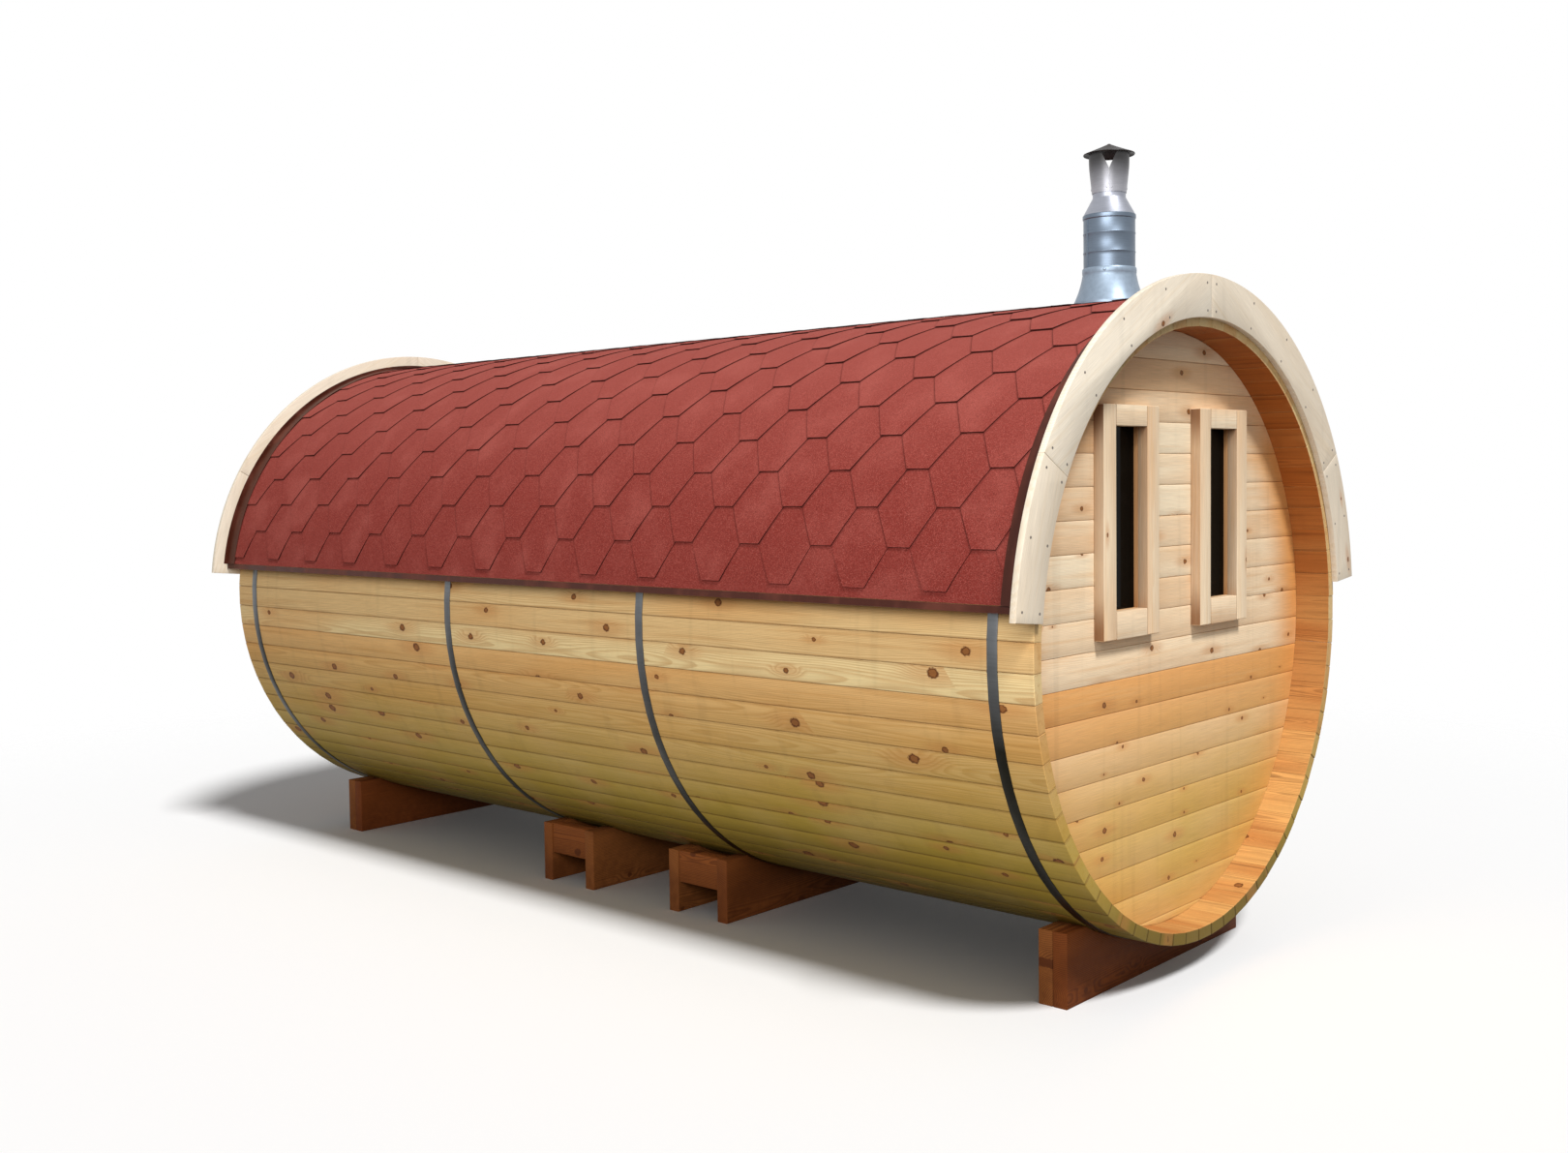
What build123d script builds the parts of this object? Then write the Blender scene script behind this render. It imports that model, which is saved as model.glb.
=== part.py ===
"""Barrel sauna: a coopered barrel on four cradles under an arched shingle roof, a board wall in each end.

Millimetres, +Z up from the ground, the barrel along Y. The end with the two narrow windows faces -Y.
"""

import math
import os

from build123d import *

os.makedirs("parts", exist_ok=True)

# Barrel
barrel_radius = 1130.0
barrel_length = 4800.0
stave_count = 72
stave_thickness = 44.0
stave_bevel = 3.0
joint_gap = 0.4
seat_gap = 0.2
overrun = 10.0

# Hoops
hoop_width = 40.0
hoop_thickness = 2.0
end_hoop_inset = 154.0
middle_hoop_offset = 615.0

# End walls
wall_recess = 140.0
wall_thickness = 44.0
board_pitch = 113.0
board_bevel = 4.0

# Windows
window_offset_share = 0.32
window_sill_share = 0.0663
window_height_share = 0.624
window_clear_width = 215.0
window_liner = 18.0
casing_depth = 40.0
casing_side = 85.0
casing_top = 73.0
casing_bottom = 95.0
pane_depth = 55.0
pane_thickness = 6.0
pane_bite = 8.0

# Door
door_sill_share = 0.764
door_height_share = 1.56
door_clear_width = 692.0
door_liner = 24.0
door_casing = 85.0
door_play = 3.0
door_thickness = 40.0
door_stop = 12.0
door_stop_depth = 24.0
door_boards = 6
ledge_height = 95.0
ledge_thickness = 25.0
ledge_inset = 250.0
handle_length = 320.0
handle_width = 32.0
handle_reach = 62.0
handle_inset = 95.0
handle_foot = 45.0

# Roof
rib_height = 44.0
rib_width = 45.0
rib_count = 6
deck_thickness = 20.0
deck_boards = 28
cover_thickness = 7.0
eave_angle = 6.9
cover_angle = 7.9
drip_lip = 22.0
sheet_thickness = 2.5

# Arch boards
arch_stand = 68.0
arch_lap = 12.0
arch_thickness = 24.0
arch_end_angle = 5.5
arch_joint_angle = 30.0

# Cradles
plank_thickness = 58.0
plank_length = 1280.0
plank_seat = 141.0
plank_shoulder = 124.0
end_cradle_inset = 189.0
middle_cradle_offset = 588.0
middle_cradle_gap = 228.0
spacer_height = 135.0
spacer_width = 58.0
spacer_inset = 6.0

# Chimney
chimney_inset = 390.0
casing_radius = 95.0
casing_height = 325.0
casing_band_height = 16.0
casing_band_step = 2.5
cone_height = 62.0
neck_height = 48.0
flue_radius = 58.0
flue_drop = 46.0
flue_rise = 32.0
roof_hole_clearance = 6.0
cone_sides = 48
collar_base_radius = 131.0
collar_lip = 12.0
collar_height = 128.0
cap_radius = 95.0
cap_tip_radius = 6.0
cap_lift = 112.0
cap_rise = 42.0
cap_lip = 4.0
sleeve_head_radius = 76.0
sleeve_drop = 30.0
notch_count = 4
notch_turn = 30.0
notch_width = 54.0
notch_height = 58.0

# Sizes that follow
half_share = 0.5
half_length = barrel_length / 2
half_stave = 180.0 / stave_count
stave_turn = 360.0 / stave_count
inner_radius = barrel_radius - stave_thickness
corner_radius = barrel_radius / math.cos(math.radians(half_stave))
axis_height = plank_seat + corner_radius + seat_gap
plank_height = plank_seat + plank_shoulder
chimney_y = chimney_inset - half_length
wall_front = wall_recess - half_length
wall_back = wall_front + wall_thickness
window_offset = window_offset_share * inner_radius
window_sill = window_sill_share * inner_radius
window_rows = round(window_height_share * inner_radius / board_pitch)
door_sill = -door_sill_share * inner_radius
door_rows = round(door_height_share * inner_radius / board_pitch)
rib_inner = corner_radius + seat_gap
rib_outer = rib_inner + rib_height
deck_inner = rib_outer + seat_gap
deck_outer = deck_inner + deck_thickness
deck_turn = (180.0 - 2 * eave_angle) / deck_boards
deck_corner = deck_outer / math.cos(math.radians(deck_turn / 2))
cover_inner = deck_corner + seat_gap
cover_outer = cover_inner + cover_thickness
arch_outer_radius = cover_outer + arch_stand
arch_inner_radius = barrel_radius - arch_lap


def section(at_y):
    """Plane across the barrel at a place along it, centred on the axis, that faces -Y."""
    return Plane(origin=(0, at_y, axis_height), x_dir=(1, 0, 0), z_dir=(0, -1, 0))


def level(height):
    """Level plane on the chimney's axis, at a height above the barrel's axis."""
    return Plane(origin=(0, chimney_y, axis_height + height))


def around(angle, radial, sideways):
    """Point of the cross section, out along an angle and sideways round from it."""
    turn = math.radians(angle)
    return (
        radial * math.cos(turn) - sideways * math.sin(turn),
        radial * math.sin(turn) + sideways * math.cos(turn),
    )


def plank_outline(angle, inner, outer, half_turn, bevel):
    """Outline of one bevelled stave or roof board, flat inside and out, with its outer arrises taken off."""
    slope = math.tan(math.radians(half_turn))
    foot = inner * slope - joint_gap / 2
    cheek = (outer - bevel) * slope - joint_gap / 2
    face = outer * slope - joint_gap / 2 - bevel
    right = [around(angle, inner, -foot), around(angle, outer - bevel, -cheek), around(angle, outer, -face)]
    left = [around(angle, outer, face), around(angle, outer - bevel, cheek), around(angle, inner, foot)]
    return right + left


def joint_outline(front, back, height):
    """Outline of the saw line between two wall boards with the bevels along its outer side."""
    half = joint_gap / 2
    side = 1 if back > front else -1
    return [
        (front - side * overrun, height - board_bevel),
        (front, height - board_bevel),
        (front + side * board_bevel, height - half),
        (back + side * overrun, height - half),
        (back + side * overrun, height + half),
        (front + side * board_bevel, height + half),
        (front, height + board_bevel),
        (front - side * overrun, height + board_bevel),
    ]


def joint_heights(sill):
    """Heights of the board joints from the axis, counted up and down from a sill."""
    below = math.floor((barrel_radius + sill) / board_pitch)
    above = math.floor((barrel_radius - sill) / board_pitch)
    return [sill + row * board_pitch for row in range(-below, above + 1)]


# Staves, nine to a side, each a flat board bevelled to its neighbours
stave_sides = [
    "staves_right",
    "staves_upper_right",
    "staves_top",
    "staves_upper_left",
    "staves_left",
    "staves_lower_left",
    "staves_bottom",
    "staves_lower_right",
]
side_turn = 360.0 / len(stave_sides)
for place, side in enumerate(stave_sides):
    first = place * side_turn - side_turn / 2 + half_stave
    with BuildPart() as staves:
        with BuildSketch(section(0)):
            for number in range(stave_count // len(stave_sides)):
                turn = first + number * stave_turn
                outline = plank_outline(turn, inner_radius, barrel_radius, half_stave, stave_bevel)
                Polygon(*outline, align=None)
        extrude(amount=half_length, both=True)
        if side == "staves_top":
            with Locations((0, chimney_y, axis_height + barrel_radius)):
                Cylinder(casing_radius + roof_hole_clearance, barrel_radius, mode=Mode.SUBTRACT)
    staves.part.label = side
    export_step(staves.part, f"parts/{side}.step")

# Hoops round the staves
hoop_apothem = barrel_radius + seat_gap / 2
hoop_places = {
    "front_hoop": end_hoop_inset - half_length,
    "front_middle_hoop": -middle_hoop_offset,
    "rear_middle_hoop": middle_hoop_offset,
    "rear_hoop": half_length - end_hoop_inset,
}
for name, at_y in hoop_places.items():
    with BuildPart() as hoop:
        with BuildSketch(section(at_y)):
            for apothem, mode in ((hoop_apothem + hoop_thickness, Mode.ADD), (hoop_apothem, Mode.SUBTRACT)):
                RegularPolygon(apothem, stave_count, major_radius=False, rotation=half_stave, mode=mode)
        extrude(amount=hoop_width / 2, both=True)
    hoop.part.label = name
    export_step(hoop.part, f"parts/{name}.step")

# Front wall of level boards, cut through for two windows
wall_apothem = inner_radius - seat_gap
window_rough_width = window_clear_width + 2 * window_liner
window_rough_height = window_rows * board_pitch
window_middle = axis_height + window_sill + window_rough_height / 2
wall_middle = (wall_front + wall_back) / 2
with BuildPart() as front_wall:
    with BuildSketch(section(wall_back)):
        RegularPolygon(wall_apothem, stave_count, major_radius=False, rotation=half_stave)
    extrude(amount=wall_thickness)
    with BuildSketch(Plane.YZ):
        for height in joint_heights(window_sill):
            Polygon(*joint_outline(wall_front, wall_back, axis_height + height), align=None)
    extrude(amount=barrel_radius, both=True, mode=Mode.SUBTRACT)
    with Locations((-window_offset, wall_middle, window_middle), (window_offset, wall_middle, window_middle)):
        Box(window_rough_width, wall_thickness + 2 * overrun, window_rough_height, mode=Mode.SUBTRACT)
front_wall.part.label = "front_wall"
export_step(front_wall.part, "parts/front_wall.step")

# Window frames: a casing on the wall and a liner through it, grooved for the pane
casing_front = wall_front - casing_depth
clear_sill = axis_height + window_sill + window_liner
clear_head = axis_height + window_sill + window_rough_height - window_liner
clear_height = clear_head - clear_sill
clear_middle = (clear_sill + clear_head) / 2
casing_low = clear_sill - casing_bottom
casing_high = clear_head + casing_top
casing_width = window_clear_width + 2 * casing_side
pane_front = casing_front + pane_depth
pane_middle = pane_front + pane_thickness / 2
for name, at_x in {"left_window": -window_offset, "right_window": window_offset}.items():
    with BuildPart() as frame:
        with Locations((at_x, (casing_front + wall_front - seat_gap) / 2, (casing_low + casing_high) / 2)):
            Box(casing_width, casing_depth - seat_gap, casing_high - casing_low)
        with Locations((at_x, (casing_front + wall_back) / 2, window_middle)):
            Box(
                window_rough_width - 2 * seat_gap,
                casing_depth + wall_thickness,
                window_rough_height - 2 * seat_gap,
            )
        with Locations((at_x, wall_front, clear_middle)):
            Box(window_clear_width, barrel_radius, clear_height, mode=Mode.SUBTRACT)
        with Locations((at_x, pane_middle, clear_middle)):
            Box(
                window_clear_width + 2 * pane_bite,
                pane_thickness + 2 * seat_gap,
                clear_height + 2 * pane_bite,
                mode=Mode.SUBTRACT,
            )
    frame.part.label = f"{name}_frame"
    export_step(frame.part, f"parts/{name}_frame.step")
    with BuildPart() as pane:
        with Locations((at_x, pane_middle, clear_middle)):
            Box(
                window_clear_width + 2 * pane_bite - 2 * seat_gap,
                pane_thickness,
                clear_height + 2 * pane_bite - 2 * seat_gap,
            )
    pane.part.label = f"{name}_pane"
    export_step(pane.part, f"parts/{name}_pane.step")

# Rear wall of the same boards, cut through for the door
door_rough_width = door_clear_width + 2 * door_liner
door_rough_height = door_rows * board_pitch
door_middle = axis_height + door_sill + door_rough_height / 2
with BuildPart() as rear_wall:
    with BuildSketch(section(-wall_front)):
        RegularPolygon(wall_apothem, stave_count, major_radius=False, rotation=half_stave)
    extrude(amount=wall_thickness)
    with BuildSketch(Plane.YZ):
        for height in joint_heights(door_sill):
            Polygon(*joint_outline(-wall_front, -wall_back, axis_height + height), align=None)
    extrude(amount=barrel_radius, both=True, mode=Mode.SUBTRACT)
    with Locations((0, -wall_middle, door_middle)):
        Box(door_rough_width, wall_thickness + 2 * overrun, door_rough_height, mode=Mode.SUBTRACT)
rear_wall.part.label = "rear_wall"
export_step(rear_wall.part, "parts/rear_wall.step")

# Door frame: a casing on the wall, a liner through it and a stop inside
door_front = -wall_front + casing_depth
door_clear_height = door_rough_height - 2 * door_liner
door_stop_front = -wall_back + door_stop_depth
with BuildPart() as door_frame:
    with Locations((0, (door_front - wall_front + seat_gap) / 2, door_middle)):
        Box(
            door_clear_width + 2 * door_casing,
            casing_depth - seat_gap,
            door_clear_height + 2 * door_casing,
        )
    with Locations((0, (door_front - wall_back) / 2, door_middle)):
        Box(
            door_rough_width - 2 * seat_gap,
            casing_depth + wall_thickness,
            door_rough_height - 2 * seat_gap,
        )
    with Locations((0, -wall_front, door_middle)):
        Box(
            door_clear_width - 2 * door_stop,
            barrel_radius,
            door_clear_height - 2 * door_stop,
            mode=Mode.SUBTRACT,
        )
    with Locations((0, door_stop_front, door_middle)):
        Box(
            door_clear_width,
            barrel_radius,
            door_clear_height,
            align=(Align.CENTER, Align.MIN, Align.CENTER),
            mode=Mode.SUBTRACT,
        )
door_frame.part.label = "door_frame"
export_step(door_frame.part, "parts/door_frame.step")

# Door leaf of upright boards with two ledges across it
leaf_back = door_stop_front + seat_gap
leaf_front = leaf_back + door_thickness
leaf_width = door_clear_width - 2 * door_play
leaf_height = door_clear_height - 2 * door_play
leaf_pitch = leaf_width / door_boards
with BuildPart() as door_leaf:
    with Locations((0, (leaf_back + leaf_front) / 2, door_middle)):
        Box(leaf_width, door_thickness, leaf_height)
    with BuildSketch(Plane.XY.offset(door_middle)):
        for joint in range(1, door_boards):
            across = joint * leaf_pitch - leaf_width / 2
            outline = joint_outline(leaf_front, leaf_back, across)
            Polygon(*[(x, y) for y, x in outline], align=None)
    extrude(amount=leaf_height, both=True, mode=Mode.SUBTRACT)
door_leaf.part.label = "door_leaf"
export_step(door_leaf.part, "parts/door_leaf.step")

with BuildPart() as door_ledges:
    with Locations(
        (0, leaf_front + seat_gap, door_middle - leaf_height / 2 + ledge_inset),
        (0, leaf_front + seat_gap, door_middle + leaf_height / 2 - ledge_inset),
    ):
        Box(
            leaf_width - 2 * stave_thickness,
            ledge_thickness,
            ledge_height,
            align=(Align.CENTER, Align.MIN, Align.CENTER),
        )
door_ledges.part.label = "door_ledges"
export_step(door_ledges.part, "parts/door_ledges.step")

handle_x = leaf_width / 2 - handle_inset
with BuildPart() as door_handle:
    with Locations((handle_x, leaf_front + seat_gap + handle_reach, door_middle)):
        Box(handle_width, handle_width, handle_length, align=(Align.CENTER, Align.MAX, Align.CENTER))
    with Locations(
        (handle_x, leaf_front + seat_gap, door_middle - (handle_length - handle_foot) / 2),
        (handle_x, leaf_front + seat_gap, door_middle + (handle_length - handle_foot) / 2),
    ):
        Box(handle_width, handle_reach, handle_foot, align=(Align.CENTER, Align.MIN, Align.CENTER))
door_handle.part.label = "door_handle"
export_step(door_handle.part, "parts/door_handle.step")

# Roof ribs, arched over the barrel from eave to eave, with a flat seat for each roof board
rib_span = barrel_length - rib_width
rib_turns = [eave_angle + number * deck_turn for number in range(deck_boards + 1)]
rib_corner = rib_outer / math.cos(math.radians(deck_turn / 2))
rib_foot = rib_inner / math.cos(math.radians(deck_turn / 2))
rib_outline = [around(turn, rib_corner, 0) for turn in rib_turns]
rib_outline += [around(turn, rib_foot, 0) for turn in reversed(rib_turns)]
with BuildPart() as roof_ribs:
    for number in range(rib_count):
        with BuildSketch(section(number * rib_span / (rib_count - 1) - rib_span / 2)):
            Polygon(*rib_outline, align=None)
        extrude(amount=rib_width / 2, both=True)
roof_ribs.part.label = "roof_ribs"
export_step(roof_ribs.part, "parts/roof_ribs.step")

# Roof boards along the barrel, half of them on each side of the ridge
deck_sides = {"right_roof_deck": eave_angle, "left_roof_deck": 90.0}
for name, first in deck_sides.items():
    with BuildPart() as deck:
        with BuildSketch(section(0)):
            for number in range(deck_boards // 2):
                turn = first + (number + half_share) * deck_turn
                Polygon(*plank_outline(turn, deck_inner, deck_outer, deck_turn / 2, 0), align=None)
        extrude(amount=half_length, both=True)
        with Locations((0, chimney_y, axis_height + barrel_radius)):
            Cylinder(casing_radius + roof_hole_clearance, barrel_radius, mode=Mode.SUBTRACT)
    deck.part.label = name
    export_step(deck.part, f"parts/{name}.step")

# Shingle covering over the roof boards
cover_sweep = 180.0 - 2 * cover_angle
with BuildPart() as shingle_cover:
    with BuildSketch(section(0)):
        with BuildLine():
            outer_edge = CenterArc((0, 0), cover_outer, cover_angle, cover_sweep)
            inner_edge = CenterArc((0, 0), cover_inner, cover_angle, cover_sweep)
            Line(outer_edge @ 0, inner_edge @ 0)
            Line(outer_edge @ 1, inner_edge @ 1)
        make_face()
    extrude(amount=half_length, both=True)
    with Locations((0, chimney_y, axis_height + barrel_radius)):
        Cylinder(collar_base_radius + joint_gap, barrel_radius, mode=Mode.SUBTRACT)
shingle_cover.part.label = "shingle_cover"
export_step(shingle_cover.part, "parts/shingle_cover.step")

# Drip edges: a face over the ends of the roof boards with a lip turned in under them
drip_angle = cover_angle - math.degrees(seat_gap / cover_inner)
drip_height = deck_corner * math.sin(math.radians(drip_angle - eave_angle)) + seat_gap + sheet_thickness
face_outer = cover_inner + sheet_thickness
for name, turned in {"right_drip_edge": False, "left_drip_edge": True}.items():
    outline = [
        (cover_inner, 0),
        (cover_inner, -drip_height + sheet_thickness),
        (cover_inner - drip_lip, -drip_height + sheet_thickness),
        (cover_inner - drip_lip, -drip_height),
        (face_outer, -drip_height),
        (face_outer, 0),
    ]
    points = [around(drip_angle, radial, sideways) for radial, sideways in outline]
    with BuildPart() as drip_edge:
        with BuildSketch(section(0)):
            Polygon(*[(-x, z) if turned else (x, z) for x, z in points], align=None)
        extrude(amount=half_length, both=True)
    drip_edge.part.label = name
    export_step(drip_edge.part, f"parts/{name}.step")

# Arch boards over the ends of the staves and the roof, butted at the ridge and on each side
arch_turns = [arch_end_angle, arch_joint_angle, 90.0, 180.0 - arch_joint_angle, 180.0 - arch_end_angle]
arch_gap = math.degrees(joint_gap / arch_outer_radius)
with BuildPart() as front_arch_boards:
    for start, stop in zip(arch_turns, arch_turns[1:]):
        with BuildSketch(section(-half_length - seat_gap)):
            with BuildLine():
                outer_edge = CenterArc((0, 0), arch_outer_radius, start, stop - start - arch_gap)
                inner_edge = CenterArc((0, 0), arch_inner_radius, start, stop - start - arch_gap)
                Line(outer_edge @ 0, inner_edge @ 0)
                Line(outer_edge @ 1, inner_edge @ 1)
            make_face()
        extrude(amount=arch_thickness)
front_arch_boards.part.label = "front_arch_boards"
export_step(front_arch_boards.part, "parts/front_arch_boards.step")

with BuildPart() as rear_arch_boards:
    mirror(front_arch_boards.part, about=Plane.XZ)
rear_arch_boards.part.label = "rear_arch_boards"
export_step(rear_arch_boards.part, "parts/rear_arch_boards.step")

# Cradles: planks on edge with the barrel's curve sawn out of the top
curve_radius = corner_radius + seat_gap
end_plank_front = end_cradle_inset - half_length
end_plank_step = plank_thickness + joint_gap
middle_plank_front = -middle_cradle_offset
middle_plank_step = plank_thickness + middle_cradle_gap
cradle_places = {
    "front_cradle": (end_plank_front, end_plank_step),
    "front_middle_cradle": (middle_plank_front, middle_plank_step),
}
cradles = {}
for name, (front, step) in cradle_places.items():
    with BuildPart() as cradle:
        for at_y in (front, front + step):
            with Locations((0, at_y, 0)):
                Box(plank_length, plank_thickness, plank_height, align=(Align.CENTER, Align.MIN, Align.MIN))
        with BuildSketch(section(0)):
            Circle(curve_radius)
        extrude(amount=half_length, both=True, mode=Mode.SUBTRACT)
    cradle.part.label = name
    export_step(cradle.part, f"parts/{name}.step")
    cradles[name] = cradle.part

with BuildPart() as rear_middle_cradle:
    mirror(cradles["front_middle_cradle"], about=Plane.XZ)
rear_middle_cradle.part.label = "rear_middle_cradle"
export_step(rear_middle_cradle.part, "parts/rear_middle_cradle.step")

with BuildPart() as rear_cradle:
    mirror(cradles["front_cradle"], about=Plane.XZ)
rear_cradle.part.label = "rear_cradle"
export_step(rear_cradle.part, "parts/rear_cradle.step")

# Spacer blocks between the planks of the middle cradles
spacer_x = plank_length / 2 - spacer_inset - spacer_width / 2
spacer_y = middle_plank_front + plank_thickness + middle_cradle_gap / 2
with BuildPart() as front_middle_spacers:
    with Locations((-spacer_x, spacer_y, plank_height), (spacer_x, spacer_y, plank_height)):
        Box(
            spacer_width,
            middle_cradle_gap - 2 * seat_gap,
            spacer_height,
            align=(Align.CENTER, Align.CENTER, Align.MAX),
        )
    with BuildSketch(section(0)):
        Circle(curve_radius)
    extrude(amount=half_length, both=True, mode=Mode.SUBTRACT)
front_middle_spacers.part.label = "front_middle_spacers"
export_step(front_middle_spacers.part, "parts/front_middle_spacers.step")

with BuildPart() as rear_middle_spacers:
    mirror(front_middle_spacers.part, about=Plane.XZ)
rear_middle_spacers.part.label = "rear_middle_spacers"
export_step(rear_middle_spacers.part, "parts/rear_middle_spacers.step")

# Chimney casing with a cone and neck, round the flue liner
casing_top_at = cover_outer + casing_height
cone_top_at = casing_top_at + cone_height
neck_top_at = cone_top_at + neck_height
neck_inner = flue_radius + seat_gap
neck_outer = neck_inner + sheet_thickness
band_radius = casing_radius + casing_band_step
cone_slope = math.degrees(math.atan((band_radius - neck_outer) / cone_height))
with BuildPart() as chimney_casing:
    with BuildSketch(level(barrel_radius)):
        Circle(casing_radius)
    extrude(amount=casing_top_at - barrel_radius)
    with BuildSketch(level(casing_top_at)):
        Circle(band_radius)
    extrude(amount=-casing_band_height)
    with BuildSketch(level(casing_top_at)):
        RegularPolygon(band_radius, cone_sides)
    extrude(amount=cone_height, taper=cone_slope)
    with BuildSketch(level(cone_top_at)):
        Circle(neck_outer)
    extrude(amount=neck_height)
    with BuildSketch(level(barrel_radius)):
        Circle(neck_inner)
    extrude(amount=neck_top_at - barrel_radius, mode=Mode.SUBTRACT)
chimney_casing.part.label = "chimney_casing"
export_step(chimney_casing.part, "parts/chimney_casing.step")

flue_foot_at = inner_radius - flue_drop
with BuildPart() as flue_liner:
    with BuildSketch(level(flue_foot_at)):
        Circle(flue_radius)
        Circle(flue_radius - sheet_thickness, mode=Mode.SUBTRACT)
    extrude(amount=neck_top_at + flue_rise - flue_foot_at)
flue_liner.part.label = "flue_liner"
export_step(flue_liner.part, "parts/flue_liner.step")

# Chimney collar, flared down through the shingles to the ridge of the roof boards
collar_inner = casing_radius + seat_gap
collar_outer = collar_inner + sheet_thickness
collar_foot_at = deck_corner + seat_gap
flare_height = cover_outer + collar_height - collar_foot_at - collar_lip
flare_slope = math.degrees(math.atan((collar_base_radius - collar_outer) / flare_height))
with BuildPart() as chimney_collar:
    with BuildSketch(level(collar_foot_at)):
        RegularPolygon(collar_base_radius, cone_sides)
    extrude(amount=collar_lip)
    with BuildSketch(level(collar_foot_at + collar_lip)):
        RegularPolygon(collar_base_radius, cone_sides)
    extrude(amount=flare_height, taper=flare_slope)
    with BuildSketch(level(collar_foot_at)):
        Circle(collar_inner)
    extrude(amount=collar_lip + flare_height, mode=Mode.SUBTRACT)
chimney_collar.part.label = "chimney_collar"
export_step(chimney_collar.part, "parts/chimney_collar.step")

# Rain cap: a shallow folded cone on a flared sleeve that clasps the neck, notched for the smoke
cap_base_at = neck_top_at + cap_lift
cap_slope = math.degrees(math.atan((cap_radius - cap_tip_radius) / (cap_rise - cap_lip)))
sleeve_height = cap_lift + sleeve_drop
sleeve_flare = sleeve_head_radius * math.cos(math.pi / cone_sides) - neck_outer - seat_gap
sleeve_slope = math.degrees(math.atan(sleeve_flare / sleeve_height))
with BuildPart() as upturned_sleeve:
    with BuildSketch(level(cap_base_at)):
        RegularPolygon(sleeve_head_radius + sheet_thickness, cone_sides)
    extrude(amount=sleeve_height, taper=sleeve_slope)
    with BuildSketch(level(cap_base_at)):
        RegularPolygon(sleeve_head_radius, cone_sides)
    extrude(amount=sleeve_height, taper=sleeve_slope, mode=Mode.SUBTRACT)
with BuildPart() as rain_cap:
    mirror(upturned_sleeve.part, about=level(cap_base_at))
    for number in range(notch_count):
        azimuth = math.radians(notch_turn + number * 360.0 / notch_count)
        notch_plane = Plane(
            origin=(0, chimney_y, axis_height + cap_base_at),
            x_dir=(-math.sin(azimuth), math.cos(azimuth), 0),
            z_dir=(math.cos(azimuth), math.sin(azimuth), 0),
        )
        with BuildSketch(notch_plane):
            Polygon((-notch_width / 2, 0), (0, -notch_height), (notch_width / 2, 0), align=None)
        extrude(amount=cap_radius, mode=Mode.SUBTRACT)
    with BuildSketch(level(cap_base_at)):
        RegularPolygon(cap_radius, cone_sides)
    extrude(amount=cap_lip)
    with BuildSketch(level(cap_base_at + cap_lip)):
        RegularPolygon(cap_radius, cone_sides)
    extrude(amount=cap_rise - cap_lip, taper=cap_slope)
rain_cap.part.label = "rain_cap"
export_step(rain_cap.part, "parts/rain_cap.step")
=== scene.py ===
"""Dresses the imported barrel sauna: sawn boards, shingles, sheet metal and a plain studio stage.

Metres, +Z up from the ground, the barrel along Y. The end with the two narrow windows faces -Y.
"""

import math
import random

import bmesh
import bpy
from bpy.props import FloatProperty, FloatVectorProperty, PointerProperty
from mathutils import Matrix, Vector


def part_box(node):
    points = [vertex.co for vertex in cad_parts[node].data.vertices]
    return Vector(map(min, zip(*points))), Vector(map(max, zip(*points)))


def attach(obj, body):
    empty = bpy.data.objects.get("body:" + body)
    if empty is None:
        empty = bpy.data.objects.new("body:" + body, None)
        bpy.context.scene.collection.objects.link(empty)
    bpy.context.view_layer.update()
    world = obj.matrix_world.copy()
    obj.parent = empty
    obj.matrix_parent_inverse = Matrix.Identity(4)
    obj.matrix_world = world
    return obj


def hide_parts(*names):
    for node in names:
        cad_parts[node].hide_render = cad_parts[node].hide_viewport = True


bl_info = {
    "name": "Barrel sauna",
    "version": (1, 0, 0),
    "blender": (4, 5, 0),
    "location": "3D View > Sidebar > Sauna",
    "description": "Boards, shingles, sheet metal and a studio stage for the barrel sauna",
    "category": "Object",
}

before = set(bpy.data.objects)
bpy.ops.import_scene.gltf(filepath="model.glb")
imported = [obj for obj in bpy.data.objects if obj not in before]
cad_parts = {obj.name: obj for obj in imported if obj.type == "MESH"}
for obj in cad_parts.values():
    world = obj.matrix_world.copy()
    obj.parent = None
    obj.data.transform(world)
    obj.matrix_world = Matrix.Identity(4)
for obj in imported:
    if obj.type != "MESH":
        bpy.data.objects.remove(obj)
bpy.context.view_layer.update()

X = Vector((1, 0, 0))
Y = Vector((0, 1, 0))
Z = Vector((0, 0, 1))

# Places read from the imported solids
HOOP_LOW, HOOP_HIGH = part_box("front_hoop")
AXIS = (HOOP_LOW.z + HOOP_HIGH.z) / 2
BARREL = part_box("staves_right")[1].x
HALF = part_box("staves_right")[1].y
WALL_FRONT, WALL_BACK = (corner.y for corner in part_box("front_wall"))
ARCH_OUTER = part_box("front_arch_boards")[1].z - AXIS
COVER_THICKNESS = 0.007
COVER_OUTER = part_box("shingle_cover")[1].z - AXIS
COVER_TURN = math.degrees(math.asin((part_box("shingle_cover")[0].z - AXIS) / (COVER_OUTER - COVER_THICKNESS)))
CHIMNEY_Y = sum(corner.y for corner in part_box("flue_liner")) / 2

# Coopering: the joint of two staves lies farther from the axis than their flats, by the corner lift
STAVES = 72
STAVE_TURN = 360.0 / STAVES
STAVE_SIDES = ["right", "upper_right", "top", "upper_left", "left", "lower_left", "bottom", "lower_right"]
SIDE_STAVES = STAVES // len(STAVE_SIDES)
CORNER_LIFT = 1.0 / math.cos(math.radians(STAVE_TURN / 2))
HOOPS = ["front_hoop", "front_middle_hoop", "rear_middle_hoop", "rear_hoop"]

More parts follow.
